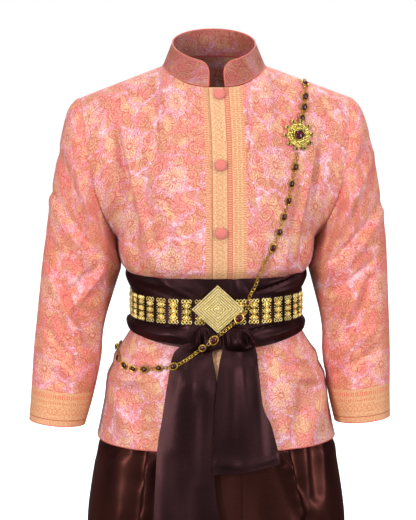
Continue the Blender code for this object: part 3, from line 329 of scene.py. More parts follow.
def trunk_high(share, u, facing, edge):
    """The trunk above the armpit, rounded over to the neckline and the shoulder seam."""
    low = trunk_low(1.0, u, facing, edge)
    armhole_top = sleeve_ring(0.0, 0.0)
    start = math.asin(edge / NECK_HALF_WIDTH)
    if u < NECK_SHARE:
        top = neckline(mix(start, math.pi / 2, u / NECK_SHARE), facing)
    else:
        top = neckline(math.pi / 2, facing).lerp(armhole_top, (u - NECK_SHARE) / (1 - NECK_SHARE))
    reach = mix(CENTRE_RISE, math.pi / 2, ease(u / NECK_SHARE))

    def column(bottom, upper, full):
        turn = full * share
        back_off = (math.cos(turn) - math.cos(full)) / (1 - math.cos(full))
        return Vector((
            mix(bottom.x, upper.x, share),
            upper.y + (bottom.y - upper.y) * back_off,
            bottom.z + (upper.z - bottom.z) * math.sin(turn) / math.sin(full),
        ))

    point = column(low, top, reach)
    sign = 1 if facing == "front" else -1
    rim = sleeve_ring(0.0, sign * math.pi * (1 - share))
    plain = column(trunk_low(1.0, 1.0, facing, edge), armhole_top, math.pi / 2)
    return point + (rim - plain) * u ** SHOULDER_FIT


def trunk(v, u, facing, edge, side, armpit_share, lap=0.0):
    """A point of the jacket's trunk on one side (1 is the wearer's left) with its folds."""
    if v <= armpit_share:
        point = trunk_low(v / armpit_share, u, facing, edge)
    else:
        point = trunk_high((v - armpit_share) / (1 - armpit_share), u, facing, edge)
    outward = Vector((point.x * 0.5, point.y, 0.0))
    outward = outward.normalized() if outward.length > 1e-6 else Vector((0, -1, 0))
    rise = fold_height(TRUNK_FOLDS, side * point.x, point.z)
    rise += lap * (1.0 - ease((point.x - LAP_FULL) / (LAP_GONE - LAP_FULL))) * (
        1.0 + 0.4 * ease(1.0 + point.z / LEAN_BELOW))
    point += outward * rise
    return leaned(Vector((side * point.x, point.y, point.z)))


def cloth_grid(columns, rows, place, closed=False, middle=0.0):
    """An open cloth surface with its UV map in metres, measured along the cloth.

    U is the distance from the column at `middle`, V the distance up each column from its foot.
    """
    cloth = bmesh.new()
    bmesh.ops.create_grid(cloth, x_segments=columns, y_segments=rows, size=1.0)
    spots = {}
    for corner in cloth.verts:
        column = round((corner.co.x + 1.0) / 2.0 * columns)
        row = round((corner.co.y + 1.0) / 2.0 * rows)
        spots[corner] = (column, row)
        corner.co = place(column / columns, row / rows)
    points = {spot: corner.co for corner, spot in spots.items()}
    zero = round(middle * columns)
    across, upward = {}, {}
    for row in range(rows + 1):
        across[zero, row] = 0.0
        for column in range(zero + 1, columns + 1):
            step = (points[column, row] - points[column - 1, row]).length
            across[column, row] = across[column - 1, row] + step
        for column in range(zero - 1, -1, -1):
            step = (points[column, row] - points[column + 1, row]).length
            across[column, row] = across[column + 1, row] - step
        for column in range(columns + 1):
            step = (points[column, row] - points[column, row - 1]).length if row else 0.0
            upward[column, row] = upward.get((column, row - 1), 0.0) + step
    layer = cloth.loops.layers.uv.new("UVMap")
    for face in cloth.faces:
        for loop in face.loops:
            spot = spots[loop.vert]
            loop[layer].uv = (across[spot], upward[spot])
    if closed:
        bmesh.ops.remove_doubles(cloth, verts=cloth.verts, dist=1e-6)
    return cloth


def turn_outward(cloth, inside):
    """Makes the faces of an open surface point away from a hollow: inside(point) lies in it."""
    cloth.normal_update()
    score = 0.0
    for face in cloth.faces:
        centre = face.calc_center_median()
        score += face.normal.dot(centre - inside(centre)) * face.calc_area()
    if score < 0:
        bmesh.ops.reverse_faces(cloth, faces=cloth.faces)
    cloth.normal_update()


def axis_point(point):
    return Vector((0.0, 0.0, point.z))


def corners_in(geometry):
    return [item for item in geometry if isinstance(item, bmesh.types.BMVert)]


def walled(cloth, thickness, rim=None):
    """Gives an open surface a wall: a second skin behind it, joined to it along every edge."""
    outward = {}
    for corner in cloth.verts:
        squared = rim(corner.co) if rim and corner.is_boundary else None
        outward[corner.co.to_tuple(6)] = squared or corner.normal.copy()
    skin = bmesh.ops.extrude_face_region(cloth, geom=cloth.faces[:], use_keep_orig=True)["geom"]
    for corner in corners_in(skin):
        corner.co -= outward[corner.co.to_tuple(6)] * thickness
    bmesh.ops.recalc_face_normals(cloth, faces=cloth.faces)
    return cloth


def off_armhole(point):
    """Away from the middle of the armhole, for the points of its seam."""
    middle = sleeve_ring(0.0, 0.0).lerp(sleeve_ring(0.0, math.pi), 0.5)
    lowest, highest = ARMPIT - 0.004, sleeve_ring(0.0, 0.0).z + 0.0005
    if abs(point.x) < ARMHOLE_FROM_X or not lowest <= point.z <= highest:
        return None
    return (point - Vector((math.copysign(middle.x, point.x), middle.y, middle.z))).normalized()


def make_piece(name, shape, finish, slot, *replaced, sharp=50):
    """Puts a finished bmesh into the scene as a piece that rides on the outfit's body."""
    mesh = bpy.data.meshes.new(name)
    shape.to_mesh(mesh)
    shape.free()
    mesh.materials.append(finish)
    mesh.shade_smooth()
    mesh.set_sharp_from_angle(angle=math.radians(sharp))
    piece = bpy.data.objects.new(name, mesh)
    bpy.context.scene.collection.objects.link(piece)
    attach(piece, "root")
    if replaced:
        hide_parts(*replaced)
    return piece


def cloth_piece(name, cloth, inside, wall, finish, slot, node, rim=None):
    """Turns an open cloth's face outward, gives it its wall and puts it in for its node."""
    turn_outward(cloth, inside)
    return make_piece(name, walled(cloth, wall, rim), finish, slot, node)


def colour(red, green, blue):
    """A colour given in the 0 to 255 of a screen, as the shader's linear one."""
    return tuple(
        (part / 255 / 12.92) if part <= 10 else ((part / 255 + 0.055) / 1.055) ** 2.4
        for part in (red, green, blue)
    ) + (1.0,)


class Finish:
    """A material that is put together from nodes, with short calls for the usual ones."""

    def __init__(self, name, roughness=0.5, **constants):
        self.material = bpy.data.materials.new(name)
        self.material.use_nodes = True
        self.tree = self.material.node_tree
        self.shader = self.tree.nodes["Principled BSDF"]
        self.shader.inputs["Roughness"].default_value = roughness
        for socket, value in constants.items():
            self.shader.inputs[socket.replace("_", " ")].default_value = value

    def node(self, kind, feeds=(), **settings):
        made = self.tree.nodes.new("ShaderNode" + kind)
        for key, value in settings.items():
            setattr(made, key, value)
        for key, value in dict(feeds).items():
            self.feed(made.inputs[key], value)
        return made

    def feed(self, socket, value):
        if isinstance(value, bpy.types.NodeSocket):
            self.tree.links.new(value, socket)
        else:
            socket.default_value = value

    def sums(self, operation, *values, clamp=False):
        feeds = dict(enumerate(values))
        return self.node("Math", feeds, operation=operation, use_clamp=clamp).outputs[0]

    def times(self, first, second):
        return self.sums("MULTIPLY", first, second)

    def plus(self, first, second):
        return self.sums("ADD", first, second)

    def less(self, first, second, clamp=False):
        return self.sums("SUBTRACT", first, second, clamp=clamp)

    def vectors(self, operation, *values, **named):
        feeds = {**dict(enumerate(values)), **named}
        return self.node("VectorMath", feeds, operation=operation).outputs[0]

    def step(self, value, low, high):
        feeds = {0: value, 1: low, 2: high, 3: 0.0, 4: 1.0}
        return self.node("MapRange", feeds, interpolation_type="SMOOTHSTEP").outputs[0]

    def band(self, value, low, high, soft):
        inside = self.step(value, low - soft, low + soft)
        beyond = self.step(value, high - soft, high + soft)
        return self.less(inside, beyond, clamp=True)

    def under(self, value, low, high):
        """The reverse of a step: full below the low value and gone above the high one."""
        return self.less(1.0, self.step(value, low, high), clamp=True)

    def line(self, value, middle, half):
        return self.under(self.sums("ABSOLUTE", self.less(value, middle)), half * 0.5, half)

    def swung(self, value, amount):
        """A noise that is centred on nothing and swings by an amount."""
        return self.times(self.less(value, 0.5), amount)

    def blend(self, share, first, second, kind="MIX"):
        mixer = self.tree.nodes.new("ShaderNodeMix")
        mixer.data_type = "RGBA"
        mixer.blend_type = kind
        self.feed(mixer.inputs[0], share)
        self.feed(mixer.inputs[6], first)
        self.feed(mixer.inputs[7], second)
        return mixer.outputs[2]

    def tint(self, tone, share, strength, shade):
        """A shade laid over a tone where a share is high, at a strength."""
        return self.blend(self.times(share, strength), tone, shade)

    def clouded(self, cloud, low, high):
        return self.blend(self.step(cloud, 0.35, 0.65), low, high)

    def noise(self, vector, scale, detail=2.0, rough=0.5, distortion=0.0):
        feeds = {
            "Vector": vector, "Scale": scale, "Detail": detail, "Roughness": rough,
            "Distortion": distortion,
        }
        return self.node("TexNoise", feeds).outputs[0]

    def place(self):
        """Where a point lies on the flat cloth, in metres: the vector, then across and up."""
        vector = self.node("UVMap", uv_map="UVMap").outputs[0]
        parts = self.node("SeparateXYZ", {0: vector}).outputs
        return vector, parts[0], parts[1]

    def spot(self):
        """Where a point of a hard piece lies, in metres."""
        return self.node("TexCoord").outputs["Object"]

    def ribs(self, value, pitch):
        return self.sums("SINE", self.times(value, 2 * math.pi / pitch))

    def bump(self, height, distance, strength=1.0, under=None):
        feeds = {"Height": height, "Distance": distance, "Strength": strength}
        made = self.node("Bump", feeds)
        if under is not None:
            self.tree.links.new(under, made.inputs["Normal"])
        return made.outputs[0]

    def finish(self, base, normal=None, roughness=None):
        self.tree.links.new(base, self.shader.inputs["Base Color"])
        if normal is not None:
            self.tree.links.new(normal, self.shader.inputs["Normal"])
        if roughness is not None:
            self.tree.links.new(roughness, self.shader.inputs["Roughness"])
        return self.material


TAN_THREAD = colour(206, 140, 114)
SALMON = colour(220, 134, 126)
PALE_GOLD = colour(230, 188, 150)
CORAL_LINE = colour(192, 68, 64)
VEIN_LILAC = colour(218, 146, 172)
VEIN_WHITE = colour(240, 208, 216)
BORDER_GOLD = colour(208, 148, 106)
BORDER_PALE = colour(226, 184, 138)
BORDER_CORAL = colour(206, 104, 80)
HEM_CORAL = colour(206, 92, 78)
DASH_ORANGE = colour(206, 118, 70)
DASH_CORAL = colour(222, 96, 70)
VINE_ORANGE = colour(206, 112, 64)
DASH_PITCH, VINE_PITCH = 0.0040, 0.017
REPEAT_WIDE, REPEAT_HIGH = 0.190, 0.136
FLOWER_RADIUS = 0.031


def flower_parts(make, vector):
    """Distance from the nearest flower of a half-drop repeat, and the angle about it."""
    parts = make.node("SeparateXYZ", {0: vector}).outputs
    best = None
    for shift in (0.0, 0.5):
        x, y = (
            make.sums("WRAP", make.less(part, repeat * shift), repeat / 2, -repeat / 2)
            for part, repeat in zip(parts, (REPEAT_WIDE, REPEAT_HIGH))
        )
        square = make.plus(make.times(x, x), make.times(y, y))
        near = (make.sums("SQRT", square), make.sums("ARCTAN2", y, x))
        if best is None:
            best = near
        else:
            nearer = make.sums("LESS_THAN", near[0], best[0])
            farther = make.less(1.0, nearer)
            angle = make.plus(make.times(nearer, near[1]), make.times(farther, best[1]))
            best = (make.sums("MINIMUM", near[0], best[0]), angle)
    return best


def wandered(make, vector, scale, reach):
    """The place on the cloth, moved about by a soft noise."""
    cloud = make.node("TexNoise", {"Vector": vector, "Scale": scale, "Detail": 1.0}).outputs[1]
    off = make.vectors("SCALE", make.vectors("SUBTRACT", cloud, (0.5, 0.5, 0.5)), Scale=reach)
    return make.vectors("ADD", vector, off)


def cells(make, vector, scale, feature, randomness=0.85):
    feeds = {"Vector": vector, "Scale": scale, "Randomness": randomness}
    return make.node("TexVoronoi", feeds, voronoi_dimensions="2D", feature=feature).outputs


def brocade(name, shade=(0.88, 0.91, 0.91, 1.0), border=None, shift=0.0):
    """Coral silk brocade: a salmon ground with coral scrolls, clustered lilac veins, round flowers."""
    make = Finish(name, 0.45, Metallic=0.10, Sheen_Weight=0.08, Sheen_Roughness=0.4)
    vector, across, upward = make.place()
    moved = make.vectors("ADD", vector, (shift, shift * 0.6, 0.0))
    drift = wandered(make, moved, 15.0, 0.055)
    curled = wandered(make, drift, 52.0, 0.020)
    lump = make.noise(moved, 118.0, 3.0, 0.68)
    fine = make.noise(moved, 360.0, 2.0, 0.6)
    cloud = make.noise(moved, 30.0, 2.0, 0.5)

    leaf = make.noise(curled, 34.0, 1.0)
    tone = make.blend(make.step(leaf, 0.44, 0.56), TAN_THREAD, SALMON)
    tone = make.tint(tone, make.step(cloud, 0.48, 0.66), 0.7, PALE_GOLD)
    scroll = make.noise(wandered(make, moved, 48.0, 0.022), 46.0, 0.0)
    turns = make.sums("PINGPONG", make.times(scroll, 5.0), 0.5)
    thin = make.times(make.under(turns, 0.05, 0.15), make.step(fine, 0.38, 0.54))
    tone = make.tint(tone, thin, 0.66, CORAL_LINE)
    arcs = cells(make, wandered(make, moved, 40.0, 0.016), 40.0, "F1", 0.8)[0]
    for level, half, share in ((0.40, 0.036, 0.80), (0.22, 0.030, 0.50)):
        ring = make.times(make.line(arcs, level, half), share)
        tone = make.tint(tone, ring, make.step(lump, 0.36, 0.52), CORAL_LINE)
    light_arc = make.times(make.line(arcs, 0.31, 0.05), make.step(lump, 0.44, 0.60))
    tone = make.tint(tone, light_arc, 0.55, PALE_GOLD)

    rim = cells(make, curled, 19.0, "DISTANCE_TO_EDGE")[0]
    lumpy = make.plus(make.plus(rim, make.swung(lump, 0.72)), make.swung(cloud, -0.30))
    lumpy = make.plus(lumpy, make.swung(make.noise(moved, 10.0, 1.0), 0.35))
    vein = make.under(lumpy, 0.015, 0.085)
    tone = make.tint(tone, vein, 0.72, VEIN_LILAC)
    tone = make.tint(tone, make.under(lumpy, -0.070, -0.020), 0.66, VEIN_WHITE)

    distance, angle = flower_parts(make, wandered(make, moved, 24.0, 0.014))
    petals = make.sums("COSINE", make.times(angle, 17.0))
    lobes = make.sums("COSINE", make.times(angle, 6.5))
    reach = make.sums("DIVIDE", distance, FLOWER_RADIUS)
    edge = make.plus(make.plus(reach, make.swung(lump, 1.30)), make.times(lobes, 0.10))
    dashes = make.times(make.band(reach, 0.26, 0.48, 0.05), make.step(petals, 0.0, -0.6))
    cream = make.blend(make.step(fine, 0.50, 0.66), PALE_GOLD, VEIN_WHITE)
    flower = make.tint(cream, dashes, 0.75, CORAL_LINE)
    flower = make.tint(flower, make.line(reach, 0.17, 0.09), 0.75, CORAL_LINE)
    tone = make.tint(tone, make.under(edge, 0.52, 0.64), 0.66, flower)
    haze = make.blend(make.step(fine, 0.46, 0.64), VEIN_LILAC, VEIN_WHITE)
    tone = make.tint(tone, make.line(edge, 0.80, 0.18), 0.56, haze)

    speck = make.noise(moved, 620.0, 1.0, 0.6)
    grain = make.plus(make.times(fine, 0.55), make.times(speck, 0.45))
    threads = make.blend(make.step(grain, 0.36, 0.64), colour(112, 46, 40), colour(255, 244, 232))
    tone = make.blend(0.70, tone, threads, "SOFT_LIGHT")

    relief = make.plus(cloud, make.times(vein, 0.25))
    if border:
        tone = border(make, across, upward, tone, fine)
    tone = make.blend(make.band(upward, -0.01, 0.0016, 0.0004), tone, HEM_CORAL)
    tone = make.blend(1.0, tone, shade, "MULTIPLY")
    normal = make.bump(make.ribs(make.plus(across, upward), 0.0011), 0.00008)
    normal = make.bump(grain, 0.00035, 0.7, normal)
    normal = make.bump(relief, 0.0010, 0.5, normal)
    return make.finish(tone, normal, make.plus(0.40, make.times(fine, 0.16)))


def comb(make, off_edge, along_edge, low, high, tone, shade):
    """Short woven dashes across a band, like the teeth of a comb."""
    teeth = make.step(make.ribs(along_edge, DASH_PITCH), -0.2, 0.5)
    return make.tint(tone, make.times(make.band(off_edge, low, high, 0.0004), teeth), 0.8, shade)


def vine(make, off_edge, along_edge, low, high, tone, shade):
    """A vine of lozenges up the middle of a band."""
    sway = make.times(make.ribs(along_edge, VINE_PITCH), (high - low) / 2 * 0.55)
    off_middle = make.sums("ABSOLUTE", make.less(off_edge, (low + high) / 2))
    stem = make.line(make.less(off_middle, make.sums("ABSOLUTE", sway)), 0.0, 0.0011)
    return make.tint(tone, make.times(stem, make.band(off_edge, low, high, 0.0003)), 0.7, shade)


def stripe(make, off_edge, along_edge, low, high, tone, shade):
    return make.blend(make.band(off_edge, low, high, 0.0006), tone, shade)


def woven_border(make, off_edge, along_edge, tone, fine, wide, soft, marks):
    """A strip of gold ground with its marks: a kind, two distances from the edge and a shade."""
    gold = make.blend(make.step(fine, 0.40, 0.62), BORDER_GOLD, BORDER_PALE)
    tone = make.blend(make.band(off_edge, -0.01, wide, soft), tone, gold)
    for weave, low, high, shade in marks:
        tone = weave(make, off_edge, along_edge, low, high, tone, shade or gold)
    return tone


def left_border(make, across, upward, tone, fine):
    """The left front's border: a vine, a coral stripe and dotted gold columns."""
    tone = woven_border(make, across, upward, tone, fine, 0.0595, 0.0006, (
        (vine, 0.0026, 0.0236, VINE_ORANGE),
        (stripe, 0.0256, 0.0350, BORDER_CORAL),
        (comb, 0.0275, 0.0335, None),
        (comb, 0.0380, 0.0425, colour(214, 104, 66)),
        (comb, 0.0455, 0.0500, DASH_ORANGE),
        (comb, 0.0530, 0.0590, DASH_CORAL),
    ))
    # A dark red-brown line along the very edge of the lapping front: a sewn edge line, darkened also as
    # painted shade where the edge turns under.
    return make.blend(make.band(across, -0.01, 0.0012, 0.0004), tone, colour(196, 84, 54))


def right_border(make, across, upward, tone, fine):
    return woven_border(make, across, upward, tone, fine, 0.0350, 0.0006, (
        (comb, 0.0085, 0.0135, DASH_ORANGE),
        (comb, 0.0165, 0.0215, DASH_ORANGE),
        (comb, 0.0290, 0.0350, DASH_CORAL),
    ))


left_brocade = brocade("brocade_left_front", border=left_border, shift=0.070)
right_brocade = brocade("brocade_right_front", border=right_border)
back_brocade = brocade("brocade_back", shift=0.30)

low_share = (len(TRUNK) - 1) / (len(TRUNK) - 1 + ROWS_ABOVE_ARMPIT)
seam_share = SEAM / 2 / 0.2


def panel_place(v, across, facing, edge, side, lap=0.0):
    if v > low_share:
        v -= seam_share * (v - low_share) / (1 - low_share)
    across = mix(across, math.sin(across * math.pi / 2), COLUMN_CROWDING)
    return trunk(v, across * (1 - seam_share), facing, edge, side, low_share, lap)


def front_panel(name, side, edge, lap, finish):
    def place(u, v):
        return panel_place(v, u, "front", edge, side, lap)

    cloth = cloth_grid(PANEL_COLUMNS, PANEL_ROWS, place)
    piece = cloth_piece(name + "_cloth", cloth, axis_point, WALL, finish, "brocade", name, off_armhole)
    return piece


right_front = front_panel("jacket_front_right", -1, RIGHT_FRONT_EDGE, 0.0, right_brocade)
left_front = front_panel("jacket_front_left", 1, LEFT_FRONT_EDGE, LAP, left_brocade)

cloth = cloth_grid(2 * PANEL_COLUMNS, PANEL_ROWS, lambda u, v: panel_place(
    v, abs(2 * u - 1), "back", 0.0, 1 if u > 0.5 else -1), middle=0.5)
jacket_back = cloth_piece(
    "jacket_back_cloth", cloth, axis_point, WALL, back_brocade, "brocade", "jacket_back", off_armhole)

# Sleeves: one piece of the same brocade each, set in at the armhole, with a seam under the arm and
# a woven gold band at the cuff, turned in and sewn.
LEFT_ARM_CLOSER = 0.0255
LEFT_ARM_FROM, LEFT_ARM_TO = -0.300, -0.625
SLEEVE_SEAM_SHARE = 0.0075
INNER_ROWS = 7
SLEEVE_FOLDS_RIGHT = (  # x_start, z_start, x_end, z_end, width, height
    (0.272, -0.150, 0.226, -0.277, 0.0070, -0.0070),
    (0.256, -0.150, 0.206, -0.310, 0.0080, 0.0060),
    (0.282, -0.220, 0.206, -0.330, 0.0060, -0.0065),
    (0.290, -0.235, 0.220, -0.345, 0.0070, 0.0060),
    (0.286, -0.305, 0.262, -0.400, 0.0080, -0.0085),
    (0.262, -0.400, 0.214, -0.482, 0.0075, -0.0090),
    (0.290, -0.360, 0.240, -0.470, 0.0090, 0.0075),
    (0.200, -0.340, 0.276, -0.400, 0.0060, -0.0060),
    (0.200, -0.355, 0.262, -0.425, 0.0070, 0.0060),
    (0.304, -0.450, 0.235, -0.520, 0.0065, -0.0060),
    (0.304, -0.490, 0.236, -0.550, 0.0080, 0.0050),
)
SLEEVE_FOLDS_LEFT = (  # x_start, z_start, x_end, z_end, width, height
    (0.262, -0.130, 0.214, -0.215, 0.0070, -0.0070),
    (0.214, -0.215, 0.186, -0.300, 0.0070, -0.0075),
    (0.270, -0.160, 0.205, -0.290, 0.0080, 0.0065),
    (0.284, -0.240, 0.202, -0.340, 0.0065, -0.0065),
    (0.290, -0.262, 0.215, -0.358, 0.0075, 0.0060),
    (0.252, -0.380, 0.218, -0.470, 0.0085, 0.0075),
    (0.268, -0.370, 0.238, -0.480, 0.0070, -0.0080),
    (0.285, -0.330, 0.205, -0.395, 0.0065, -0.0060),
    (0.294, -0.490, 0.215, -0.540, 0.0070, -0.0055),
    (0.290, -0.455, 0.222, -0.500, 0.0080, 0.0050),
)
SLEEVE_COLUMNS, SLEEVE_ROWS = 96, 150
CUFF_BAND = 0.060


def cuff_border(make, across, upward, tone, fine):
    tone = woven_border(make, upward, across, tone, fine, CUFF_BAND, 0.0008, (
        (comb, 0.0475, 0.0545, DASH_CORAL),
        (comb, 0.0380, 0.0420, DASH_ORANGE),
        (vine, 0.0160, 0.0350, VINE_ORANGE),
    ))
    return make.blend(make.line(upward, 0.0110, 0.0012), tone, colour(186, 96, 58))



sleeve_brocade = brocade("brocade_sleeve", (0.90, 0.78, 0.75, 1.0), cuff_border, 0.52)


def sleeve(name, side, folds):
    last = len(SLEEVE) - 1
    start = SEAM / SLEEVE_SEAM_SHARE

    def place(u, v):
        reach = last + (start - last) * v
        angle = 2 * math.pi * (u + 0.5)
        point = sleeve_ring(reach, angle)
        middle = sleeve_ring(reach, 0.0).lerp(sleeve_ring(reach, math.pi), 0.5)
        outward = (point - middle).normalized()
        fade = ease((reach - 1.0) / 2.0) * ease((last - reach) / 2.0)
        inner = ease((math.cos(angle) + 1.0) / 0.5) if reach < INNER_ROWS else 1.0
        point += outward * fold_height(folds, point.x, point.z) * fade * inner
        if side > 0:
            drop = (LEFT_ARM_FROM - point.z) / (LEFT_ARM_FROM - LEFT_ARM_TO)
            point.x -= LEFT_ARM_CLOSER * max(0.0, drop)
        return leaned(Vector((side * point.x, point.y, point.z)))

    cloth = cloth_grid(SLEEVE_COLUMNS, SLEEVE_ROWS, place, closed=True, middle=0.5)
    def arm(point):
        return Vector((side * (0.205 - 0.12 * point.z), -0.01, point.z))

    piece = cloth_piece(name + "_cloth", cloth, arm, WALL, sleeve_brocade, "brocade", name, off_armhole)


sleeve("sleeve_right", -1, SLEEVE_FOLDS_RIGHT)
sleeve("sleeve_left", 1, SLEEVE_FOLDS_LEFT)

# Stand collar: one band of a darker brocade with rounded front corners, stiffened and edged with a
# narrow piping, sewn into the neckline.
COLLAR_TOP_HALF_WIDTH = 0.0725
COLLAR_TOP_FRONT = 0.0665
COLLAR_TOP_BACK = 0.0540
COLLAR_TOP_FRONT_HEIGHT = 0.0035
COLLAR_TOP_BACK_HEIGHT = 0.0550
COLLAR_HALF_GAP = math.radians(9.5)
COLLAR_LIFT = 0.0006
COLLAR_CORNER = 0.017
COLLAR_COLUMNS, COLLAR_ROWS = 150, 16
COLLAR_OVERHANG = 1.4
PIPING_RADIUS, FOOT_PIPING_RADIUS = 0.0013, 0.0009
PIPING_STEPS, PIPING_END_STEPS = 180, 12


def collar_point(u, v):
    angle = mix(COLLAR_HALF_GAP, 2 * math.pi - COLLAR_HALF_GAP, u)
    facing = "front" if math.cos(angle) > 1e-6 else "back"
    foot = neckline(angle if facing == "front" else math.pi - angle, facing)
    foot.z += COLLAR_LIFT
    depth = -COLLAR_TOP_FRONT if facing == "front" else COLLAR_TOP_BACK
    height = mix(COLLAR_TOP_FRONT_HEIGHT, COLLAR_TOP_BACK_HEIGHT, (0.5 - 0.5 * math.cos(angle)) ** 0.8)
    top = Vector((COLLAR_TOP_HALF_WIDTH * math.sin(angle), depth * abs(math.cos(angle)), height))
    from_end = (min(angle, 2 * math.pi - angle) - COLLAR_HALF_GAP) * COLLAR_TOP_HALF_WIDTH
    if from_end < COLLAR_CORNER:
        drop = COLLAR_CORNER - math.sqrt(COLLAR_CORNER ** 2 - (COLLAR_CORNER - from_end) ** 2)
        top = top.lerp(foot, drop / (height - foot.z))
    return leaned(foot.lerp(top, v))


def join_to(shape, other):
    """Adds another bmesh to a shape, and ends it."""
    carrier = bpy.data.meshes.new("carrier")
    other.to_mesh(carrier)
    other.free()
    shape.from_mesh(carrier)
    bpy.data.meshes.remove(carrier)


def rod(sections):
    """A closed body through a row of closed sections with the same number of points."""
    rows, sides = len(sections), len(sections[0])
    body = bmesh.new()
    bmesh.ops.create_grid(body, x_segments=sides, y_segments=rows - 1, size=1.0)
    for corner in body.verts:
        column = round((corner.co.x + 1) / 2 * sides) % sides
        row = round((corner.co.y + 1) / 2 * (rows - 1))
        corner.co = sections[row][column]
    bmesh.ops.remove_doubles(body, verts=body.verts, dist=1e-7)
    bmesh.ops.holes_fill(body, edges=[edge for edge in body.edges if edge.is_boundary], sides=0)
    bmesh.ops.recalc_face_normals(body, faces=body.faces)
    return body


def round_rod(points, radius, sides):
    """A rod of one radius along a row of points."""
    sections = []
    for number, point in enumerate(points):
        ahead = points[min(number + 1, len(points) - 1)] - points[max(number - 1, 0)]
        turn = ahead.to_track_quat("Z", "X").to_matrix()
        sections.append([
            point + turn @ Vector((math.cos(step), math.sin(step), 0.0)) * radius
            for step in [2 * math.pi * side / sides for side in range(sides)]
        ])
    return rod(sections)


collar_foot = {
    collar_point(column / COLLAR_COLUMNS, 0.0).to_tuple(5) for column in range(COLLAR_COLUMNS + 1)
}


def collar_rim(point):
    """The inner side of the collar's foot hangs a little over the neckline's seam."""
    if point.to_tuple(5) not in collar_foot:
        return None
    return Vector((point.x, point.y, 0.0)).normalized() + Vector((0.0, 0.0, COLLAR_OVERHANG))


collar_brocade = brocade("brocade_collar", (0.48, 0.36, 0.35, 1.0), shift=0.77)
cloth = cloth_grid(COLLAR_COLUMNS, COLLAR_ROWS, collar_point)
collar = cloth_piece(
    "collar_cloth", cloth, axis_point, WALL, collar_brocade, "collar_brocade", "collar", collar_rim)

make = Finish("piping_cloth", 0.6, Sheen_Weight=0.2)
wave = make.node("TexWave", {"Vector": make.spot(), "Scale": 260.0, "Distortion": 2.0}).outputs[1]
tone = make.blend(wave, colour(168, 70, 58), colour(206, 108, 90))
piping_cloth = make.finish(tone, make.bump(wave, 0.0002))
edge_line = [collar_point(0.0, step / PIPING_END_STEPS) for step in range(PIPING_END_STEPS)]
edge_line += [collar_point(step / PIPING_STEPS, 1.0) for step in range(PIPING_STEPS)]
edge_line += [collar_point(1.0, 1.0 - step / PIPING_END_STEPS) for step in range(PIPING_END_STEPS + 1)]
edge_line = [point - Vector((point.x, point.y, 0.0)).normalized() * WALL / 2 for point in edge_line]
foot_line = [collar_point(step / PIPING_STEPS, 0.02) for step in range(PIPING_STEPS + 1)]
piping = round_rod(edge_line, PIPING_RADIUS, 8)
join_to(piping, round_rod(foot_line, FOOT_PIPING_RADIUS, 6))
make_piece("collar_piping", piping, piping_cloth, "collar_brocade")

# Buttons: three small domes covered in salmon cloth, sewn on the left front one below another, down
# the middle of the chest.
BUTTON_RADIUS = 0.0102
BUTTON_THICKNESS = 0.0072
BUTTON_HEIGHTS = (-0.0480, -0.1650, -0.2790)

make = Finish("button_cloth", 0.62, Sheen_Weight=0.25)
grain = make.noise(make.spot(), 900.0)
tone = make.blend(grain, colour(170, 78, 72), colour(212, 120, 108))
button_cloth = make.finish(tone, make.bump(grain, 0.0002, 0.8))


def skin_of(pieces):
    """The surfaces of some finished pieces, to lay other pieces on."""
    joined = bmesh.new()
    for piece in pieces:
        joined.from_mesh(piece.data)
    bmesh.ops.triangulate(joined, faces=joined.faces)
    tree = BVHTree.FromBMesh(joined)
    joined.free()
    return tree


def touch(skin, side, first, second):
    """Where a line from one side meets a surface: x and z from front or back, y and z from the
    right, x and y from the top."""
    start, direction = {
        "front": (Vector((first, -0.6, second)), Vector((0, 1, 0))),
        "back": (Vector((first, 0.6, second)), Vector((0, -1, 0))),
        "right": (Vector((-0.215, first, second)), Vector((1, 0, 0))),
        "top": (Vector((first, second, 0.3)), Vector((0, 0, -1))),
    }[side]
    return skin.ray_cast(start, direction)[:2]


def placing(place, normal, up=Vector((0, 0, 1))):
    """A matrix that stands a shape's Z along the normal, with its Y as near to up as it can be."""
    depth = normal.normalized()
    side = up.cross(depth).normalized()
    turn = Matrix((side, depth.cross(side), depth)).transposed().to_4x4()
    return Matrix.Translation(place) @ turn


def put(shape, matrix, corners=None):
    bmesh.ops.transform(shape, matrix=matrix, verts=shape.verts if corners is None else corners)


def add_dome(shape, around, rings, radius, flat, rise=0.0):
    """A flattened ball, with its middle raised."""
    dome = bmesh.ops.create_uvsphere(shape, u_segments=around, v_segments=rings, radius=radius)["verts"]
    for corner in dome:
        corner.co.z = corner.co.z * flat + rise
    return dome


front_skin = skin_of([left_front])
for number, height in enumerate(BUTTON_HEIGHTS, 1):
    place, normal = touch(front_skin, "front", 0.0, height)
    dome = bmesh.new()
    add_dome(dome, 32, 18, BUTTON_RADIUS, BUTTON_THICKNESS / 2 / BUTTON_RADIUS)
    put(dome, placing(place + normal * (BUTTON_THICKNESS / 2 + CLEAR), normal))
    make_piece(f"button_{number}_dome", dome, button_cloth, "button_cloth", f"button_{number}")

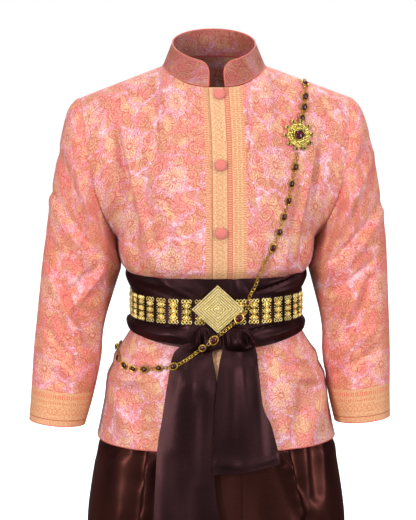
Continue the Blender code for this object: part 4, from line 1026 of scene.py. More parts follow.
# Waist sash: a long length of dark brown satin, folded along its length and wound round the waist,
# gathered towards the buckle in front.
SASH = (  # height, half_width, front, back
    (-0.4800, 0.1545, 0.1290, 0.1210),
    (-0.4730, 0.1558, 0.1296, 0.1220),
    (-0.4600, 0.1560, 0.1294, 0.1220),
    (-0.4480, 0.1530, 0.1280, 0.1200),
    (-0.4380, 0.1480, 0.1252, 0.1162),
    (-0.4160, 0.1460, 0.1238, 0.1148),
    (-0.3940, 0.1480, 0.1244, 0.1160),
    (-0.3840, 0.1530, 0.1264, 0.1192),
    (-0.3700, 0.1585, 0.1284, 0.1228),
    (-0.3590, 0.1575, 0.1288, 0.1225),
)
SASH_WALL = 0.0022
SASH_SIDE_RISE = 0.020
SASH_COLUMNS, SASH_ROWS = 240, 44
BELT_HEIGHT = -0.4160
BELT_EDGE, BELT_EDGE_FADE = 0.020, 0.010
SASH_FOLDS = (  # x_start, z_start, x_end, z_end, width, height
    (-0.150, -0.366, -0.052, -0.376, 0.0050, 0.0020),
    (0.150, -0.364, 0.060, -0.376, 0.0050, 0.0020),
    (0.120, -0.360, 0.045, -0.366, 0.0040, 0.0014),
    (-0.150, -0.450, -0.075, -0.462, 0.0050, 0.0022),
    (0.150, -0.448, 0.080, -0.458, 0.0050, 0.0022),
    (0.125, -0.462, 0.085, -0.470, 0.0040, -0.0008),
)
SASH_GATHERS = (  # x_start, z_start, x_end, z_end, width, height
    (-0.110, -0.356, -0.046, -0.391, 0.0065, 0.0050),
    (-0.080, -0.366, -0.036, -0.394, 0.0034, -0.0055),
    (-0.150, -0.370, -0.090, -0.388, 0.0055, -0.0034),
    (-0.046, -0.358, -0.022, -0.378, 0.0045, -0.0030),
    (0.0200, -0.358, 0.0290, -0.386, 0.0050, 0.0038),
    (0.0080, -0.360, 0.0140, -0.380, 0.0040, -0.0028),
    (0.0640, -0.382, 0.1380, -0.362, 0.0036, -0.0060),
    (0.0700, -0.371, 0.1400, -0.353, 0.0050, 0.0057),
    (0.0400, -0.362, 0.0560, -0.388, 0.0045, -0.0026),
    (0.0960, -0.388, 0.1450, -0.378, 0.0040, 0.0036),
    (-0.152, -0.4395, -0.062, -0.4440, 0.0034, -0.0065),
    (-0.150, -0.4500, -0.056, -0.4580, 0.0060, 0.0048),
    (-0.138, -0.4660, -0.064, -0.4730, 0.0040, -0.0024),
    (-0.100, -0.4440, -0.050, -0.4660, 0.0040, 0.0028),
    (0.0500, -0.4500, 0.1400, -0.4370, 0.0036, -0.0070),
    (0.0680, -0.4640, 0.1440, -0.4450, 0.0055, 0.0050),
    (0.0640, -0.4560, 0.1000, -0.4520, 0.0034, -0.0040),
    (0.1000, -0.4730, 0.1440, -0.4590, 0.0040, -0.0026),
)


def satin(name, dark, middle, light, scale=1.0):
    """Heavy satin: a dark ground that shines softly along its folds, with a fine crosswise rib."""
    tint = (0.55, 0.34, 0.32, 1.0)
    make = Finish(name, 0.44, Metallic=0.72, Specular_IOR_Level=0.10, Specular_Tint=tint)
    vector, _, upward = make.place()
    stretched = make.node("Mapping", {"Vector": vector, "Scale": (1.0, 0.30, 1.0)}).outputs[0]
    cloud = make.noise(stretched, 20.0 * scale, 1.0, 0.5)
    ripple = make.noise(stretched, 9.0 * scale, 1.0, 0.4, 0.6)
    thread = make.noise(stretched, 1400.0, 1.0)
    tone = make.blend(make.step(cloud, 0.36, 0.66), dark, middle)
    tone = make.tint(tone, make.step(thread, 0.50, 0.66), 0.07, light)
    normal = make.bump(make.ribs(upward, 0.0006), 0.00001)
    normal = make.bump(cloud, 0.0040, 0.6, normal)
    normal = make.bump(ripple, 0.0200, 0.7, normal)
    return make.finish(tone, normal, make.plus(0.34, make.times(cloud, 0.12)))


sash_satin = satin("sash_satin", colour(38, 21, 23), colour(51, 30, 32), colour(120, 90, 92))


def sash_point(u, v):
    height, half_width, front, back = along(SASH, v * (len(SASH) - 1))
    angle = 2 * math.pi * (u + 0.5)
    x, y = section(half_width, front, back, angle)
    aside = math.sin(angle) ** 2 if math.cos(angle) > 0 else 1.0
    height += SASH_SIDE_RISE * aside * ease((SASH[4][0] - height) / (SASH[4][0] - SASH[0][0]))
    rise = fold_height(SASH_FOLDS, x, height)
    off_belt = ease((abs(height - BELT_HEIGHT) - BELT_EDGE) / BELT_EDGE_FADE)
    rise += fold_height(SASH_GATHERS, x, height) * off_belt
    outward = Vector((x, y, 0.0)).normalized()
    return Vector((x, y, height)) + outward * rise


cloth = cloth_grid(SASH_COLUMNS, SASH_ROWS, sash_point, closed=True, middle=0.5)
sash = cloth_piece("sash_cloth", cloth, axis_point, SASH_WALL, sash_satin, "sash_satin", "sash_band")

# Sash knot and tails: the sash's two ends, tied in front under the buckle, hang down over the
# jacket. The knot is a heap of soft folds; each tail ends in a turned hem.
BUCKLE_CENTRE = (-0.0050, -0.4100)
BUCKLE_HALF_WIDTH, BUCKLE_HALF_HEIGHT = 0.0442, 0.0412
KNOT = (  # top_x, bottom_x, bottom_height, swell
    (-0.0460, -0.0530, -0.4770, 0.0000),
    (-0.0400, -0.0440, -0.4815, 0.0065),
    (-0.0300, -0.0310, -0.4835, 0.0105),
    (-0.0200, -0.0190, -0.4830, 0.0080),
    (-0.0110, -0.0110, -0.4800, 0.0030),
    (-0.0050, -0.0040, -0.4785, 0.0020),
    (0.0040, 0.0050, -0.4795, 0.0055),
    (0.0160, 0.0180, -0.4820, 0.0095),
    (0.0280, 0.0310, -0.4830, 0.0120),
    (0.0400, 0.0440, -0.4810, 0.0125),
    (0.0500, 0.0550, -0.4765, 0.0100),
    (0.0570, 0.0620, -0.4700, 0.0020),
)
KNOT_CREASES = (  # x_start, z_start, x_end, z_end, width, height
    (-0.0410, -0.440, -0.0430, -0.474, 0.0052, 0.0080),
    (-0.0450, -0.444, -0.0480, -0.472, 0.0016, -0.0030),
    (-0.0380, -0.446, -0.0380, -0.476, 0.0018, -0.0036),
    (-0.0325, -0.444, -0.0320, -0.482, 0.0026, -0.0085),
    (-0.0270, -0.470, -0.0230, -0.482, 0.0050, 0.0040),
    (-0.0200, -0.444, -0.0110, -0.458, 0.0072, -0.0170),
    (-0.0130, -0.464, -0.0180, -0.482, 0.0028, -0.0040),
    (0.0030, -0.446, 0.0050, -0.478, 0.0040, -0.0090),
    (0.0130, -0.450, 0.0160, -0.482, 0.0022, -0.0030),
    (0.0230, -0.480, 0.0300, -0.452, 0.0120, 0.0080),
    (0.0400, -0.451, 0.0460, -0.468, 0.0056, -0.0230),
    (0.0500, -0.446, 0.0590, -0.472, 0.0036, 0.0090),
)
KNOT_TOP = -0.4410
KNOT_BACK_LOW, KNOT_BACK_TOP = -0.1364, -0.1302
KNOT_FROM_BUCKLE = 0.0020
KNOT_PLIES, KNOT_LEAST = 0.0036, 0.0003
KNOT_COLUMNS, KNOT_ROWS = 130, 44
DRAPE = (  # height, half_width, front
    (-0.8800, 0.2350, 0.1850),
    (-0.8200, 0.2350, 0.1860),
    (-0.7600, 0.2330, 0.1850),
    (-0.7000, 0.2250, 0.1810),
    (-0.6450, 0.2135, 0.1724),
    (-0.6000, 0.2040, 0.1660),
    (-0.5650, 0.1970, 0.1612),
    (-0.5350, 0.1915, 0.1566),
    (-0.5100, 0.1860, 0.1492),
    (-0.4890, 0.1690, 0.1370),
    (-0.4700, 0.1565, 0.1303),
)
TAIL_RIGHT_EDGES = (  # height, right_x, left_x
    (-0.8800, -0.1190, 0.0020),
    (-0.7650, -0.1165, -0.0042),
    (-0.7271, -0.1147, -0.0110),
    (-0.6427, -0.1089, -0.0165),
    (-0.5971, -0.1010, -0.0130),
    (-0.5365, -0.0912, -0.0080),
    (-0.4860, -0.0790, -0.0150),
    (-0.4680, -0.0520, -0.0120),
)
TAIL_LEFT_EDGES = (  # height, right_x, left_x
    (-0.6870, -0.0178, 0.0990),
    (-0.6500, -0.0165, 0.0935),
    (-0.6085, -0.0140, 0.0847),
    (-0.5745, -0.0120, 0.0700),
    (-0.5155, -0.0060, 0.0633),
    (-0.4860, 0.0010, 0.0610),
    (-0.4680, 0.0060, 0.0560),
)
TAIL_LEFT_SLANT, TAIL_SAG = 0.015, 0.0035
TAIL_COLUMNS, TAIL_ROWS = 48, 150
TAIL_FOLDS = (  # x_start, z_start, x_end, z_end, width, height
    (-0.0640, -0.526, -0.0260, -0.546, 0.0170, 0.0046),
    (-0.0640, -0.490, -0.0800, -0.640, 0.0170, 0.0042),
    (-0.0470, -0.480, -0.0520, -0.560, 0.0060, -0.0016),
    (-0.0280, -0.490, -0.0330, -0.700, 0.0120, 0.0024),
    (-0.1000, -0.660, -0.1080, -0.860, 0.0150, 0.0020),
    (-0.0580, -0.700, -0.0600, -0.860, 0.0110, -0.0020),
    (0.0180, -0.484, 0.0140, -0.620, 0.0120, 0.0034),
    (0.0360, -0.480, 0.0420, -0.570, 0.0060, -0.0014),
    (0.0540, -0.484, 0.0680, -0.650, 0.0100, 0.0030),
    (-0.0060, -0.666, 0.0300, -0.672, 0.0090, 0.0050),
    (0.0450, -0.672, 0.0900, -0.660, 0.0070, 0.0030),
)


def knot_top(x):
    share = 1 - abs(x - BUCKLE_CENTRE[0]) / BUCKLE_HALF_WIDTH
    return min(KNOT_TOP, BUCKLE_CENTRE[1] - BUCKLE_HALF_HEIGHT * share - KNOT_FROM_BUCKLE)


def knot_point(u, v, front):
    top_x, bottom_x, bottom, swell = along(KNOT, u * (len(KNOT) - 1))
    x = mix(bottom_x, top_x, v)
    corner = (1.0 - ease(u / 0.16)) * 0.008 + (1.0 - ease((1.0 - u) / 0.24)) * 0.016
    height = mix(bottom, knot_top(x) - corner, v)
    rise = 0.0
    if front:
        crown = math.sin(math.pi * (0.02 + 0.96 * (1 - v))) ** 0.8
        thin_end = ease(0.15 + min(u, 1.0 - u) / 0.05)
        rise = (KNOT_PLIES * 0.1 + (KNOT_PLIES * 0.9 + swell) * crown) * thin_end
        rise += fold_height(KNOT_CREASES, x, height) * math.sin(math.pi * v) ** 0.5
        rise = max(KNOT_LEAST, rise)
    return Vector((x, mix(KNOT_BACK_LOW, KNOT_BACK_TOP, v) - rise, height))


heap = cloth_grid(KNOT_COLUMNS, KNOT_ROWS, lambda u, v: Vector((u, v, 0.0)))
front = bmesh.ops.extrude_face_region(heap, geom=heap.faces[:], use_keep_orig=True)["geom"]
for corner in corners_in(front):
    corner.co.z = 1.0
for corner in heap.verts:
    corner.co = knot_point(corner.co.x, corner.co.y, corner.co.z > 0.5)
layer = heap.loops.layers.uv["UVMap"]
for face in heap.faces:
    for loop in face.loops:
        loop[layer].uv = (loop.vert.co.x, loop.vert.co.z)
bmesh.ops.recalc_face_normals(heap, faces=heap.faces)
knot = make_piece("knot_cloth", heap, sash_satin, "sash_satin", "sash_knot")


def sash_tail(name, edges, slant, lift):
    def place(u, v):
        height, right_x, left_x = along(edges, v * (len(edges) - 1))
        x = mix(right_x, left_x, u)
        height += (slant * u - TAIL_SAG * math.sin(math.pi * u)) * ease(1.0 - 3.0 * v)
        half_width, front = at_height(DRAPE, height)
        y = -front * (1 - (abs(x) / half_width) ** (2 / ROUNDNESS)) ** (ROUNDNESS / 2)
        return Vector((x, y - lift - fold_height(TAIL_FOLDS, x, height), height))

    cloth = cloth_grid(TAIL_COLUMNS, TAIL_ROWS, place)
    piece = cloth_piece(name + "_cloth", cloth, axis_point, -SATIN_WALL, sash_satin, "sash_satin", name)
    return piece


right_tail = sash_tail("sash_tail_right", TAIL_RIGHT_EDGES, 0.0, 0.0)
left_tail = sash_tail("sash_tail_left", TAIL_LEFT_EDGES, TAIL_LEFT_SLANT, SATIN_WALL + CLEAR)

# Belt: gilt brass panels with three filigree rosettes and lace edges each, linked side by side in
# two halves that close round the sash.
BELT_HALF_WIDTH, BELT_FRONT, BELT_BACK = 0.1485, 0.1262, 0.1172
BELT_THICKNESS = 0.0028
BELT_PANELS = 38
PANEL_HALF_WIDTH, PANEL_HALF_HEIGHT, PANEL_THICKNESS = 0.0074, 0.0160, 0.0007
PANEL_RISE = 0.0006
DISC_PLACES, DISC_FLAT, DISC_THICKNESS = (-0.0108, 0.0, 0.0108), 0.60, 0.0010
ROSETTE_WIDE, ROSETTE_HIGH, ROSETTE_BEADS = 0.0057, 0.0034, 8
LACE_PITCH, LACE_RING, LACE_WIRE = 0.0060, 0.0025, 0.0007
LACE_RISE, LACE_RINGS_AT, LACE_BEADS_AT = 0.0010, 0.0024, 0.0052
SIDE_PITCH, SIDE_STEPS = 0.0046, (-3.3, -2.3, -1.3, -0.5, 0.5, 1.3, 2.3, 3.3)
BELT_STEPS = 360


def gilt(name, low, high, rough=0.30):
    """Gold plating over brass, its tone clouded at random between a low and a high colour, with fine
    scratches.
    """
    make = Finish(name, rough, Metallic=0.85)
    place = make.spot()
    tone = make.clouded(make.noise(place, 460.0, rough=0.6), low, high)
    scratch = make.noise(place, 1500.0, rough=0.6)
    rougher = make.plus(rough - 0.06, make.times(scratch, 0.14))
    return make.finish(tone, make.bump(scratch, 0.0002, 0.6), rougher)


gold = gilt("gold", colour(132, 92, 24), colour(226, 188, 84))
# A darker and a lighter copy of the same gilt: the darker one, on the belt's plates, is painted shade
# behind the raised lace; the lighter one, on the lace, is a painted highlight.
gold_painted_shade = gilt("gold_painted_shade", colour(104, 72, 20), colour(184, 144, 56))
gold_painted_highlight = gilt("gold_painted_highlight", colour(224, 186, 80), colour(255, 246, 180))
pale_gold = gilt("pale_gold", colour(214, 194, 124), colour(250, 236, 184))


def add_bead(shape, place, radius, flat=1.0, subdivisions=1):
    made = bmesh.ops.create_icosphere(shape, subdivisions=subdivisions, radius=radius)
    for corner in made["verts"]:
        corner.co.z *= flat
    bmesh.ops.translate(shape, verts=made["verts"], vec=place)


def add_ring(shape, place, radius, wire, around=10, sides=5, turn=None):
    """A wire ring lying flat at a place, or turned by a matrix first."""
    before = set(shape.verts)
    hoop = bmesh.ops.create_circle(shape, cap_ends=False, segments=sides, radius=wire)["verts"]
    bmesh.ops.rotate(shape, verts=hoop, cent=(0, 0, 0), matrix=Matrix.Rotation(math.pi / 2, 3, "X"))
    bmesh.ops.translate(shape, verts=hoop, vec=(radius, 0, 0))
    edges = list({edge for corner in hoop for edge in corner.link_edges})
    bmesh.ops.spin(shape, geom=hoop + edges, cent=(0, 0, 0), axis=(0, 0, 1), dvec=(0, 0, 0),
                   angle=2 * math.pi, steps=around, use_merge=True)
    made = [corner for corner in shape.verts if corner not in before]
    if turn is not None:
        bmesh.ops.transform(shape, matrix=turn, verts=made)
    bmesh.ops.translate(shape, verts=made, vec=place)
    return made


plates = bmesh.new()
bmesh.ops.create_cube(plates, size=1.0)
panel_size = (PANEL_HALF_WIDTH, 2 * PANEL_HALF_HEIGHT, PANEL_THICKNESS)
bmesh.ops.scale(plates, verts=plates.verts, vec=panel_size)
lace = bmesh.new()
for height in DISC_PLACES:
    disc = bmesh.ops.create_cone(
        plates, cap_ends=True, segments=18, radius1=PANEL_HALF_WIDTH + 0.0003,
        radius2=PANEL_HALF_WIDTH - 0.0006, depth=DISC_THICKNESS)["verts"]
    for corner in disc:
        corner.co.y = corner.co.y * DISC_FLAT + height
    add_bead(lace, (0.0, height, 0.0014), 0.0029, 0.8, 2)
    for step in range(ROSETTE_BEADS):
        turn = 2 * math.pi * step / ROSETTE_BEADS
        place = (ROSETTE_WIDE * math.cos(turn), height + ROSETTE_HIGH * math.sin(turn), 0.0012)
        add_bead(lace, place, 0.0014, 0.9)
bmesh.ops.translate(plates, verts=plates.verts, vec=(0.0, 0.0, PANEL_RISE))
for side in (-1, 1):
    for step in (-1, 0, 1):
        x, edge = step * LACE_PITCH, side * PANEL_HALF_HEIGHT
        add_ring(lace, (x, edge + side * LACE_RINGS_AT, LACE_RISE), LACE_RING, LACE_WIRE, 10, 4)
        add_bead(lace, (x, edge + side * LACE_BEADS_AT, LACE_RISE), 0.0010)
    for step in SIDE_STEPS:
        add_bead(lace, (side * (PANEL_HALF_WIDTH + 0.0002), step * SIDE_PITCH, 0.0009), 0.0009)
panel_meshes = {}
for part, shape in (("plates", plates), ("lace", lace)):
    bmesh.ops.recalc_face_normals(shape, faces=shape.faces)
    panel_meshes[part] = bpy.data.meshes.new("belt_panel_" + part)
    shape.to_mesh(panel_meshes[part])
    shape.free()


def belt_place(share):
    """A panel's place and outward direction; share runs round the waist from the front middle."""
    lengths = [0.0]
    points = []
    for step in range(BELT_STEPS + 1):
        angle = 2 * math.pi * step / BELT_STEPS
        points.append(Vector((*section(BELT_HALF_WIDTH, BELT_FRONT, BELT_BACK, angle), BELT_HEIGHT)))
        if step:
            lengths.append(lengths[-1] + (points[-1] - points[-2]).length)
    wanted = share * lengths[-1]
    step = max(number for number in range(BELT_STEPS) if lengths[number] <= wanted)
    inner = (wanted - lengths[step]) / (lengths[step + 1] - lengths[step])
    point = points[step].lerp(points[step + 1], inner)
    ahead = (points[step + 1] - points[step]).normalized()
    return point, ahead.cross(Vector((0, 0, 1))).normalized()


belt_pieces = []
for name, side in (("belt_right", -1), ("belt_left", 1)):
    # The plates take the gilt with painted shade, and the lace takes the gilt with painted highlights.
    for part, metal in (("plates", gold_painted_shade), ("lace", gold_painted_highlight)):
        half = bmesh.new()
        for number in range(BELT_PANELS // 2):
            share = (number + 0.5) / BELT_PANELS
            place, normal = belt_place(share if side > 0 else 1.0 - share)
            if normal.dot(Vector((place.x, place.y, 0.0))) < 0:
                normal = -normal
            before = set(half.verts)
            half.from_mesh(panel_meshes[part])
            made = [corner for corner in half.verts if corner not in before]
            put(half, placing(place + normal * CLEAR, normal), made)
        replaced = [name] if part == "plates" else []
        belt_pieces.append(make_piece(f"{name}_{part}", half, metal, "gold", *replaced))

# Buckle: a stepped rhombus plate of pale gilt covered in rows of beading. It lies over the two ends
# of the belt in front and joins them.
BUCKLE_THICKNESS = 0.0030
BUCKLE_ROWS, BUCKLE_MIDDLE = 8, 0.3
FROM_MIDDLE = BUCKLE_HALF_WIDTH * BUCKLE_HALF_HEIGHT / math.hypot(BUCKLE_HALF_WIDTH, BUCKLE_HALF_HEIGHT)
ROW_PITCH = FROM_MIDDLE / (BUCKLE_ROWS + BUCKLE_MIDDLE)
RIDGE_STEPS = (  # inset, rise
    (0.0004, 0.0012),
    (0.30 * ROW_PITCH, 0.0),
    (0.0004, -0.0010),
    (0.45 * ROW_PITCH, 0.0),
)
BEAD_ROW_AT, BEAD_RISE, BEAD_ROW_STEP = 0.26, 0.0011, 0.0002
BEAD_PITCH, BEAD_RADIUS = 0.0022, 0.0008

make = Finish("buckle_gold", 0.30, Metallic=0.5)
place = make.spot()
parts = make.node("SeparateXYZ", {0: place}).outputs
off_x = make.sums("ABSOLUTE", make.less(parts[0], BUCKLE_CENTRE[0]))
off_z = make.sums("ABSOLUTE", make.less(parts[2], BUCKLE_CENTRE[1]))
row = make.plus(
    make.sums("DIVIDE", off_x, BUCKLE_HALF_WIDTH), make.sums("DIVIDE", off_z, BUCKLE_HALF_HEIGHT))
row = make.times(make.less(1.0, row), BUCKLE_ROWS + BUCKLE_MIDDLE)
# Painted shade: the groove of each row of ridges is coloured a dark brown gold, broken into beads by a
# fine noise, where shade falls between the ridges.
hollow = make.band(make.sums("FRACT", row), 0.50, 0.90, 0.10)
tone = make.clouded(make.noise(place, 240.0, 3.0, 0.6), colour(240, 220, 146), colour(252, 240, 188))
painted_shade_strength = make.step(make.noise(place, 620.0, 1.0), 0.36, 0.56)
painted_shade_strength = make.plus(0.45, make.times(painted_shade_strength, 0.55))
# The dark gold laid into the grooves here is painted shade.
tone = make.tint(tone, hollow, painted_shade_strength, colour(140, 100, 38))
scratch = make.noise(place, 1500.0, rough=0.6)
buckle_gold = make.finish(
    tone, make.bump(scratch, 0.0002, 0.6), make.plus(0.24, make.times(scratch, 0.16)))

plate = bmesh.new()
bmesh.ops.create_cone(plate, cap_ends=True, segments=4, radius1=1.0, radius2=1.0, depth=BUCKLE_THICKNESS)
bmesh.ops.scale(plate, verts=plate.verts, vec=(BUCKLE_HALF_WIDTH, BUCKLE_HALF_HEIGHT, 1.0))
beading = bmesh.new()
for number in range(BUCKLE_ROWS):
    for inset, rise in RIDGE_STEPS:
        top = min(plate.faces, key=lambda face: face.calc_center_median().xy.length - face.normal.z)
        bmesh.ops.inset_individual(plate, faces=[top], thickness=inset, depth=rise)
    share = 1.0 - (number + BEAD_ROW_AT) / (BUCKLE_ROWS + BUCKLE_MIDDLE)
    height = BUCKLE_THICKNESS / 2 + BEAD_RISE + BEAD_ROW_STEP * number
    wide, tall = BUCKLE_HALF_WIDTH * share, BUCKLE_HALF_HEIGHT * share
    corners = [Vector((x, y, height)) for x, y in ((wide, 0), (0, tall), (-wide, 0), (0, -tall))]
    for start, end in zip(corners, corners[1:] + corners[:1]):
        count = max(1, round((end - start).length / BEAD_PITCH))
        for step in range(count):
            add_bead(beading, start.lerp(end, step / count), BEAD_RADIUS)
add_bead(beading, (0.0, 0.0, BUCKLE_THICKNESS / 2 + 0.0022), 0.0026, 0.7, 2)
belt_face = BELT_FRONT + BELT_THICKNESS + CLEAR
middle = Vector((BUCKLE_CENTRE[0], -belt_face - BUCKLE_THICKNESS / 2, BUCKLE_CENTRE[1]))
for shape in (plate, beading):
    put(shape, placing(middle, Vector((0, -1, 0))))
buckle = make_piece("buckle_plate", plate, buckle_gold, "gold", "buckle", sharp=30)
make_piece("buckle_beading", beading, pale_gold, "gold")

# Chong kraben: one wide length of dark satin wrapped round the hips; its rolled end passes between
# the legs and is tucked in behind, so that swags spread from the middle of the waist.
KRABEN = (  # height, outer, parting, inner, front, back
    (-1.0500, 0.1900, 0.1240, 0.0580, 0.0900, 0.0880),
    (-1.0200, 0.1965, 0.1200, 0.0520, 0.1030, 0.1010),
    (-0.9800, 0.2090, 0.1080, 0.0430, 0.1220, 0.1180),
    (-0.9300, 0.2225, 0.0720, 0.0320, 0.1440, 0.1370),
    (-0.8800, 0.2300, 0.0260, 0.0240, 0.1610, 0.1520),
    (-0.8400, 0.2290, 0.0150, 0.0150, 0.1680, 0.1575),
    (-0.7900, 0.2270, 0.0050, 0.0050, 0.1710, 0.1595),
    (-0.7400, 0.2205, 0.0006, 0.0006, 0.1700, 0.1580),
    (-0.7000, 0.2140, 0.0006, 0.0006, 0.1670, 0.1550),
    (-0.6700, 0.2105, 0.0006, 0.0006, 0.1635, 0.1510),
    (-0.6500, 0.2025, 0.0006, 0.0006, 0.1590, 0.1470),
    (-0.6000, 0.1900, 0.0006, 0.0006, 0.1530, 0.1410),
    (-0.5320, 0.1730, 0.0006, 0.0006, 0.1420, 0.1300),
    (-0.4950, 0.1500, 0.0006, 0.0006, 0.1200, 0.1130),
    (-0.4600, 0.1370, 0.0006, 0.0006, 0.1110, 0.1040),
)
KRABEN_WALL = 0.0018
LEG_ROWS, LEG_MIDDLE = 4, 0.11
LEG_COLUMNS, INNER_LEG_COLUMNS, STEPS_PER_ROW = 160, 64, 10
CROTCH_ARCH = 0.020
SWAG_FROM = -0.470
SWAGS = (  # angle_from_down, width, height
    (17.0, 2.6, -0.0090),
    (23.0, 2.6, 0.0100),
    (30.0, 3.0, -0.0190),
    (38.0, 3.6, 0.0140),
    (47.0, 3.8, -0.0160),
    (56.0, 4.4, 0.0090),
    (67.0, 4.6, -0.0080),
)
SWAG_TOP, SWAG_FULL = 0.150, 0.290
FOLD_REACH, FRONT_REACH, HEM_REACH = 0.022, 0.04, 0.03
SIDE_CALM = 0.75
DRAPES_ABOVE, KNEE_FROM = (-0.84, 0.08), (-1.06, 0.10)  # a height, and the stretch to full
RIDGES_END, SIDE_FROM, PLEAT_EDGE = (0.150, 0.060), (0.170, 0.040), (0.034, 0.03)  # off the middle
KRABEN_FOLDS_RIGHT = (  # x_start, z_start, x_end, z_end, width, height
    (0.1080, -0.560, 0.1340, -0.765, 0.0100, 0.0150),
    (0.1340, -0.765, 0.1500, -0.930, 0.0105, 0.0130),
    (0.1250, -0.560, 0.1430, -0.710, 0.0115, -0.0200),
    (0.1430, -0.710, 0.1720, -0.900, 0.0140, -0.0200),
    (0.1540, -0.600, 0.1850, -0.730, 0.0150, 0.0110),
    (0.1850, -0.730, 0.1960, -0.900, 0.0150, 0.0090),
    (0.1300, -0.610, 0.2200, -0.705, 0.0100, -0.0120),
)
KRABEN_FOLDS_LEFT = (  # x_start, z_start, x_end, z_end, width, height
    (0.0960, -0.560, 0.1140, -0.680, 0.0105, 0.0160),
    (0.1140, -0.680, 0.1430, -0.765, 0.0105, 0.0160),
    (0.1430, -0.765, 0.1680, -0.930, 0.0110, 0.0130),
    (0.1230, -0.560, 0.1380, -0.720, 0.0130, -0.0200),
    (0.1380, -0.720, 0.1680, -0.880, 0.0140, -0.0180),
    (0.1640, -0.560, 0.1700, -0.740, 0.0110, -0.0150),
    (0.1800, -0.600, 0.1950, -0.730, 0.0110, 0.0090),
    (0.1950, -0.730, 0.2020, -0.880, 0.0120, 0.0080),
)
PLEAT_FRONT = (  # height, half_width
    (-0.518, 0.0285), (-0.532, 0.0300), (-0.600, 0.0310), (-0.650, 0.0315), (-0.670, 0.0315),
    (-0.700, 0.0315), (-0.740, 0.0315), (-0.790, 0.0310), (-0.840, 0.0270), (-0.880, 0.0200),
)
PLEAT_UNDER = (  # depth_share, height, half_width
    (-0.92, -0.912, 0.0150), (-0.65, -0.930, 0.0135), (-0.20, -0.937, 0.0130),
)
PLEAT_BACK_SHARE = 0.86
PLEAT_MIDDLE = -0.70
PLEAT_COLUMNS, PLEAT_ROWS = 20, 200
PLEAT_LIFT = 0.0005
FRONT_CROWDING = 0.75
PLEAT_WALL = 0.0024

kraben_satin = satin("kraben_satin", colour(44, 20, 18), colour(66, 34, 30), colour(130, 92, 80), 0.6)


def rising(value, start, length):
    return ease((value - start) / length)


def kraben_fold(folds, x, y, z):
    """The wrap's folds: swags from the middle of the waist, and in front the drapes of one side."""
    run = math.hypot(x, z - SWAG_FROM)
    angle = math.degrees(math.atan2(abs(x), SWAG_FROM - z))
    swags = sum(
        height * math.exp(-(((angle - middle) / width) ** 2)) for middle, width, height in SWAGS
    )
    swags *= rising(run, SWAG_TOP, SWAG_FULL - SWAG_TOP)
    in_front = rising(-y, 0.0, FRONT_REACH)
    swags *= 1.0 - in_front * rising(z, *DRAPES_ABOVE)
    total = FOLD_REACH * math.tanh((swags + in_front * fold_height(folds, abs(x), z)) / FOLD_REACH)
    if total > 0:
        total *= rising(-z, -HEM, HEM_REACH) * (1.0 - rising(abs(x), *RIDGES_END))
    total *= 1.0 - SIDE_CALM * rising(abs(x), *SIDE_FROM)
    return total * rising(z, *KNEE_FROM) * rising(abs(x), *PLEAT_EDGE)


def kraben_half(name, side, folds):
    last = len(KRABEN) - 1

    def outer(u, v):
        height, wide, parting, _, front, back = along(KRABEN, v * last)
        x, y = section(wide - parting, front, back, math.pi * mix(u * u, u, FRONT_CROWDING))
        outward = Vector((x, y, 0.0)).normalized()
        point = Vector((x + parting, y, height))
        point += outward * kraben_fold(folds, point.x, y, height)
        return Vector((side * point.x, point.y, point.z))

    def inner(u, v):
        height, _, parting, near, front, back = along(KRABEN, v * LEG_ROWS)
        x, y = section(parting - near, front, back, math.pi * u)
        outward = Vector((-x, y, 0.0)).normalized()
        point = Vector((parting - x, y, height))
        point += outward * kraben_fold(folds, point.x, y, height)
        arch = CROTCH_ARCH * math.sin(math.pi * u) ** 2 * v ** 3
        return Vector((side * point.x, point.y, height + arch))

    cloth = cloth_grid(LEG_COLUMNS, last * STEPS_PER_ROW, outer)
    join_to(cloth, cloth_grid(INNER_LEG_COLUMNS, LEG_ROWS * STEPS_PER_ROW, inner))
    bmesh.ops.remove_doubles(cloth, verts=cloth.verts, dist=1e-5)
    bmesh.ops.recalc_face_normals(cloth, faces=cloth.faces)

    def leg(point):
        return Vector((side * LEG_MIDDLE, 0.0, point.z))

    piece = cloth_piece(name + "_cloth", cloth, leg, KRABEN_WALL, kraben_satin, "kraben_satin", name)
    return piece


kraben_right = kraben_half("kraben_right", -1, KRABEN_FOLDS_RIGHT)
kraben_left = kraben_half("kraben_left", 1, KRABEN_FOLDS_LEFT)


pleat_rows = [(-1.0, *row) for row in PLEAT_FRONT] + list(PLEAT_UNDER)
pleat_rows += [(-share, height, wide) for share, height, wide in reversed(PLEAT_UNDER)]
pleat_rows += [(1.0, height, round(PLEAT_BACK_SHARE * wide, 4)) for height, wide in reversed(PLEAT_FRONT)]


def pleat_point(u, v):
    share, height, half_width = along(pleat_rows, v * (len(pleat_rows) - 1))
    front, back = at_height(KRABEN, height)[3:]
    depth = (front if share < 0 else back) + PLEAT_LIFT
    return Vector((half_width * (2.0 * u - 1.0), share * depth, height))


cloth = cloth_grid(PLEAT_COLUMNS, PLEAT_ROWS, pleat_point, middle=0.5)
pleat = cloth_piece(
    "kraben_pleat_cloth", cloth, lambda _: Vector((0.0, 0.0, PLEAT_MIDDLE)), -PLEAT_WALL, kraben_satin,
    "kraben_satin", "kraben_centre_pleat")

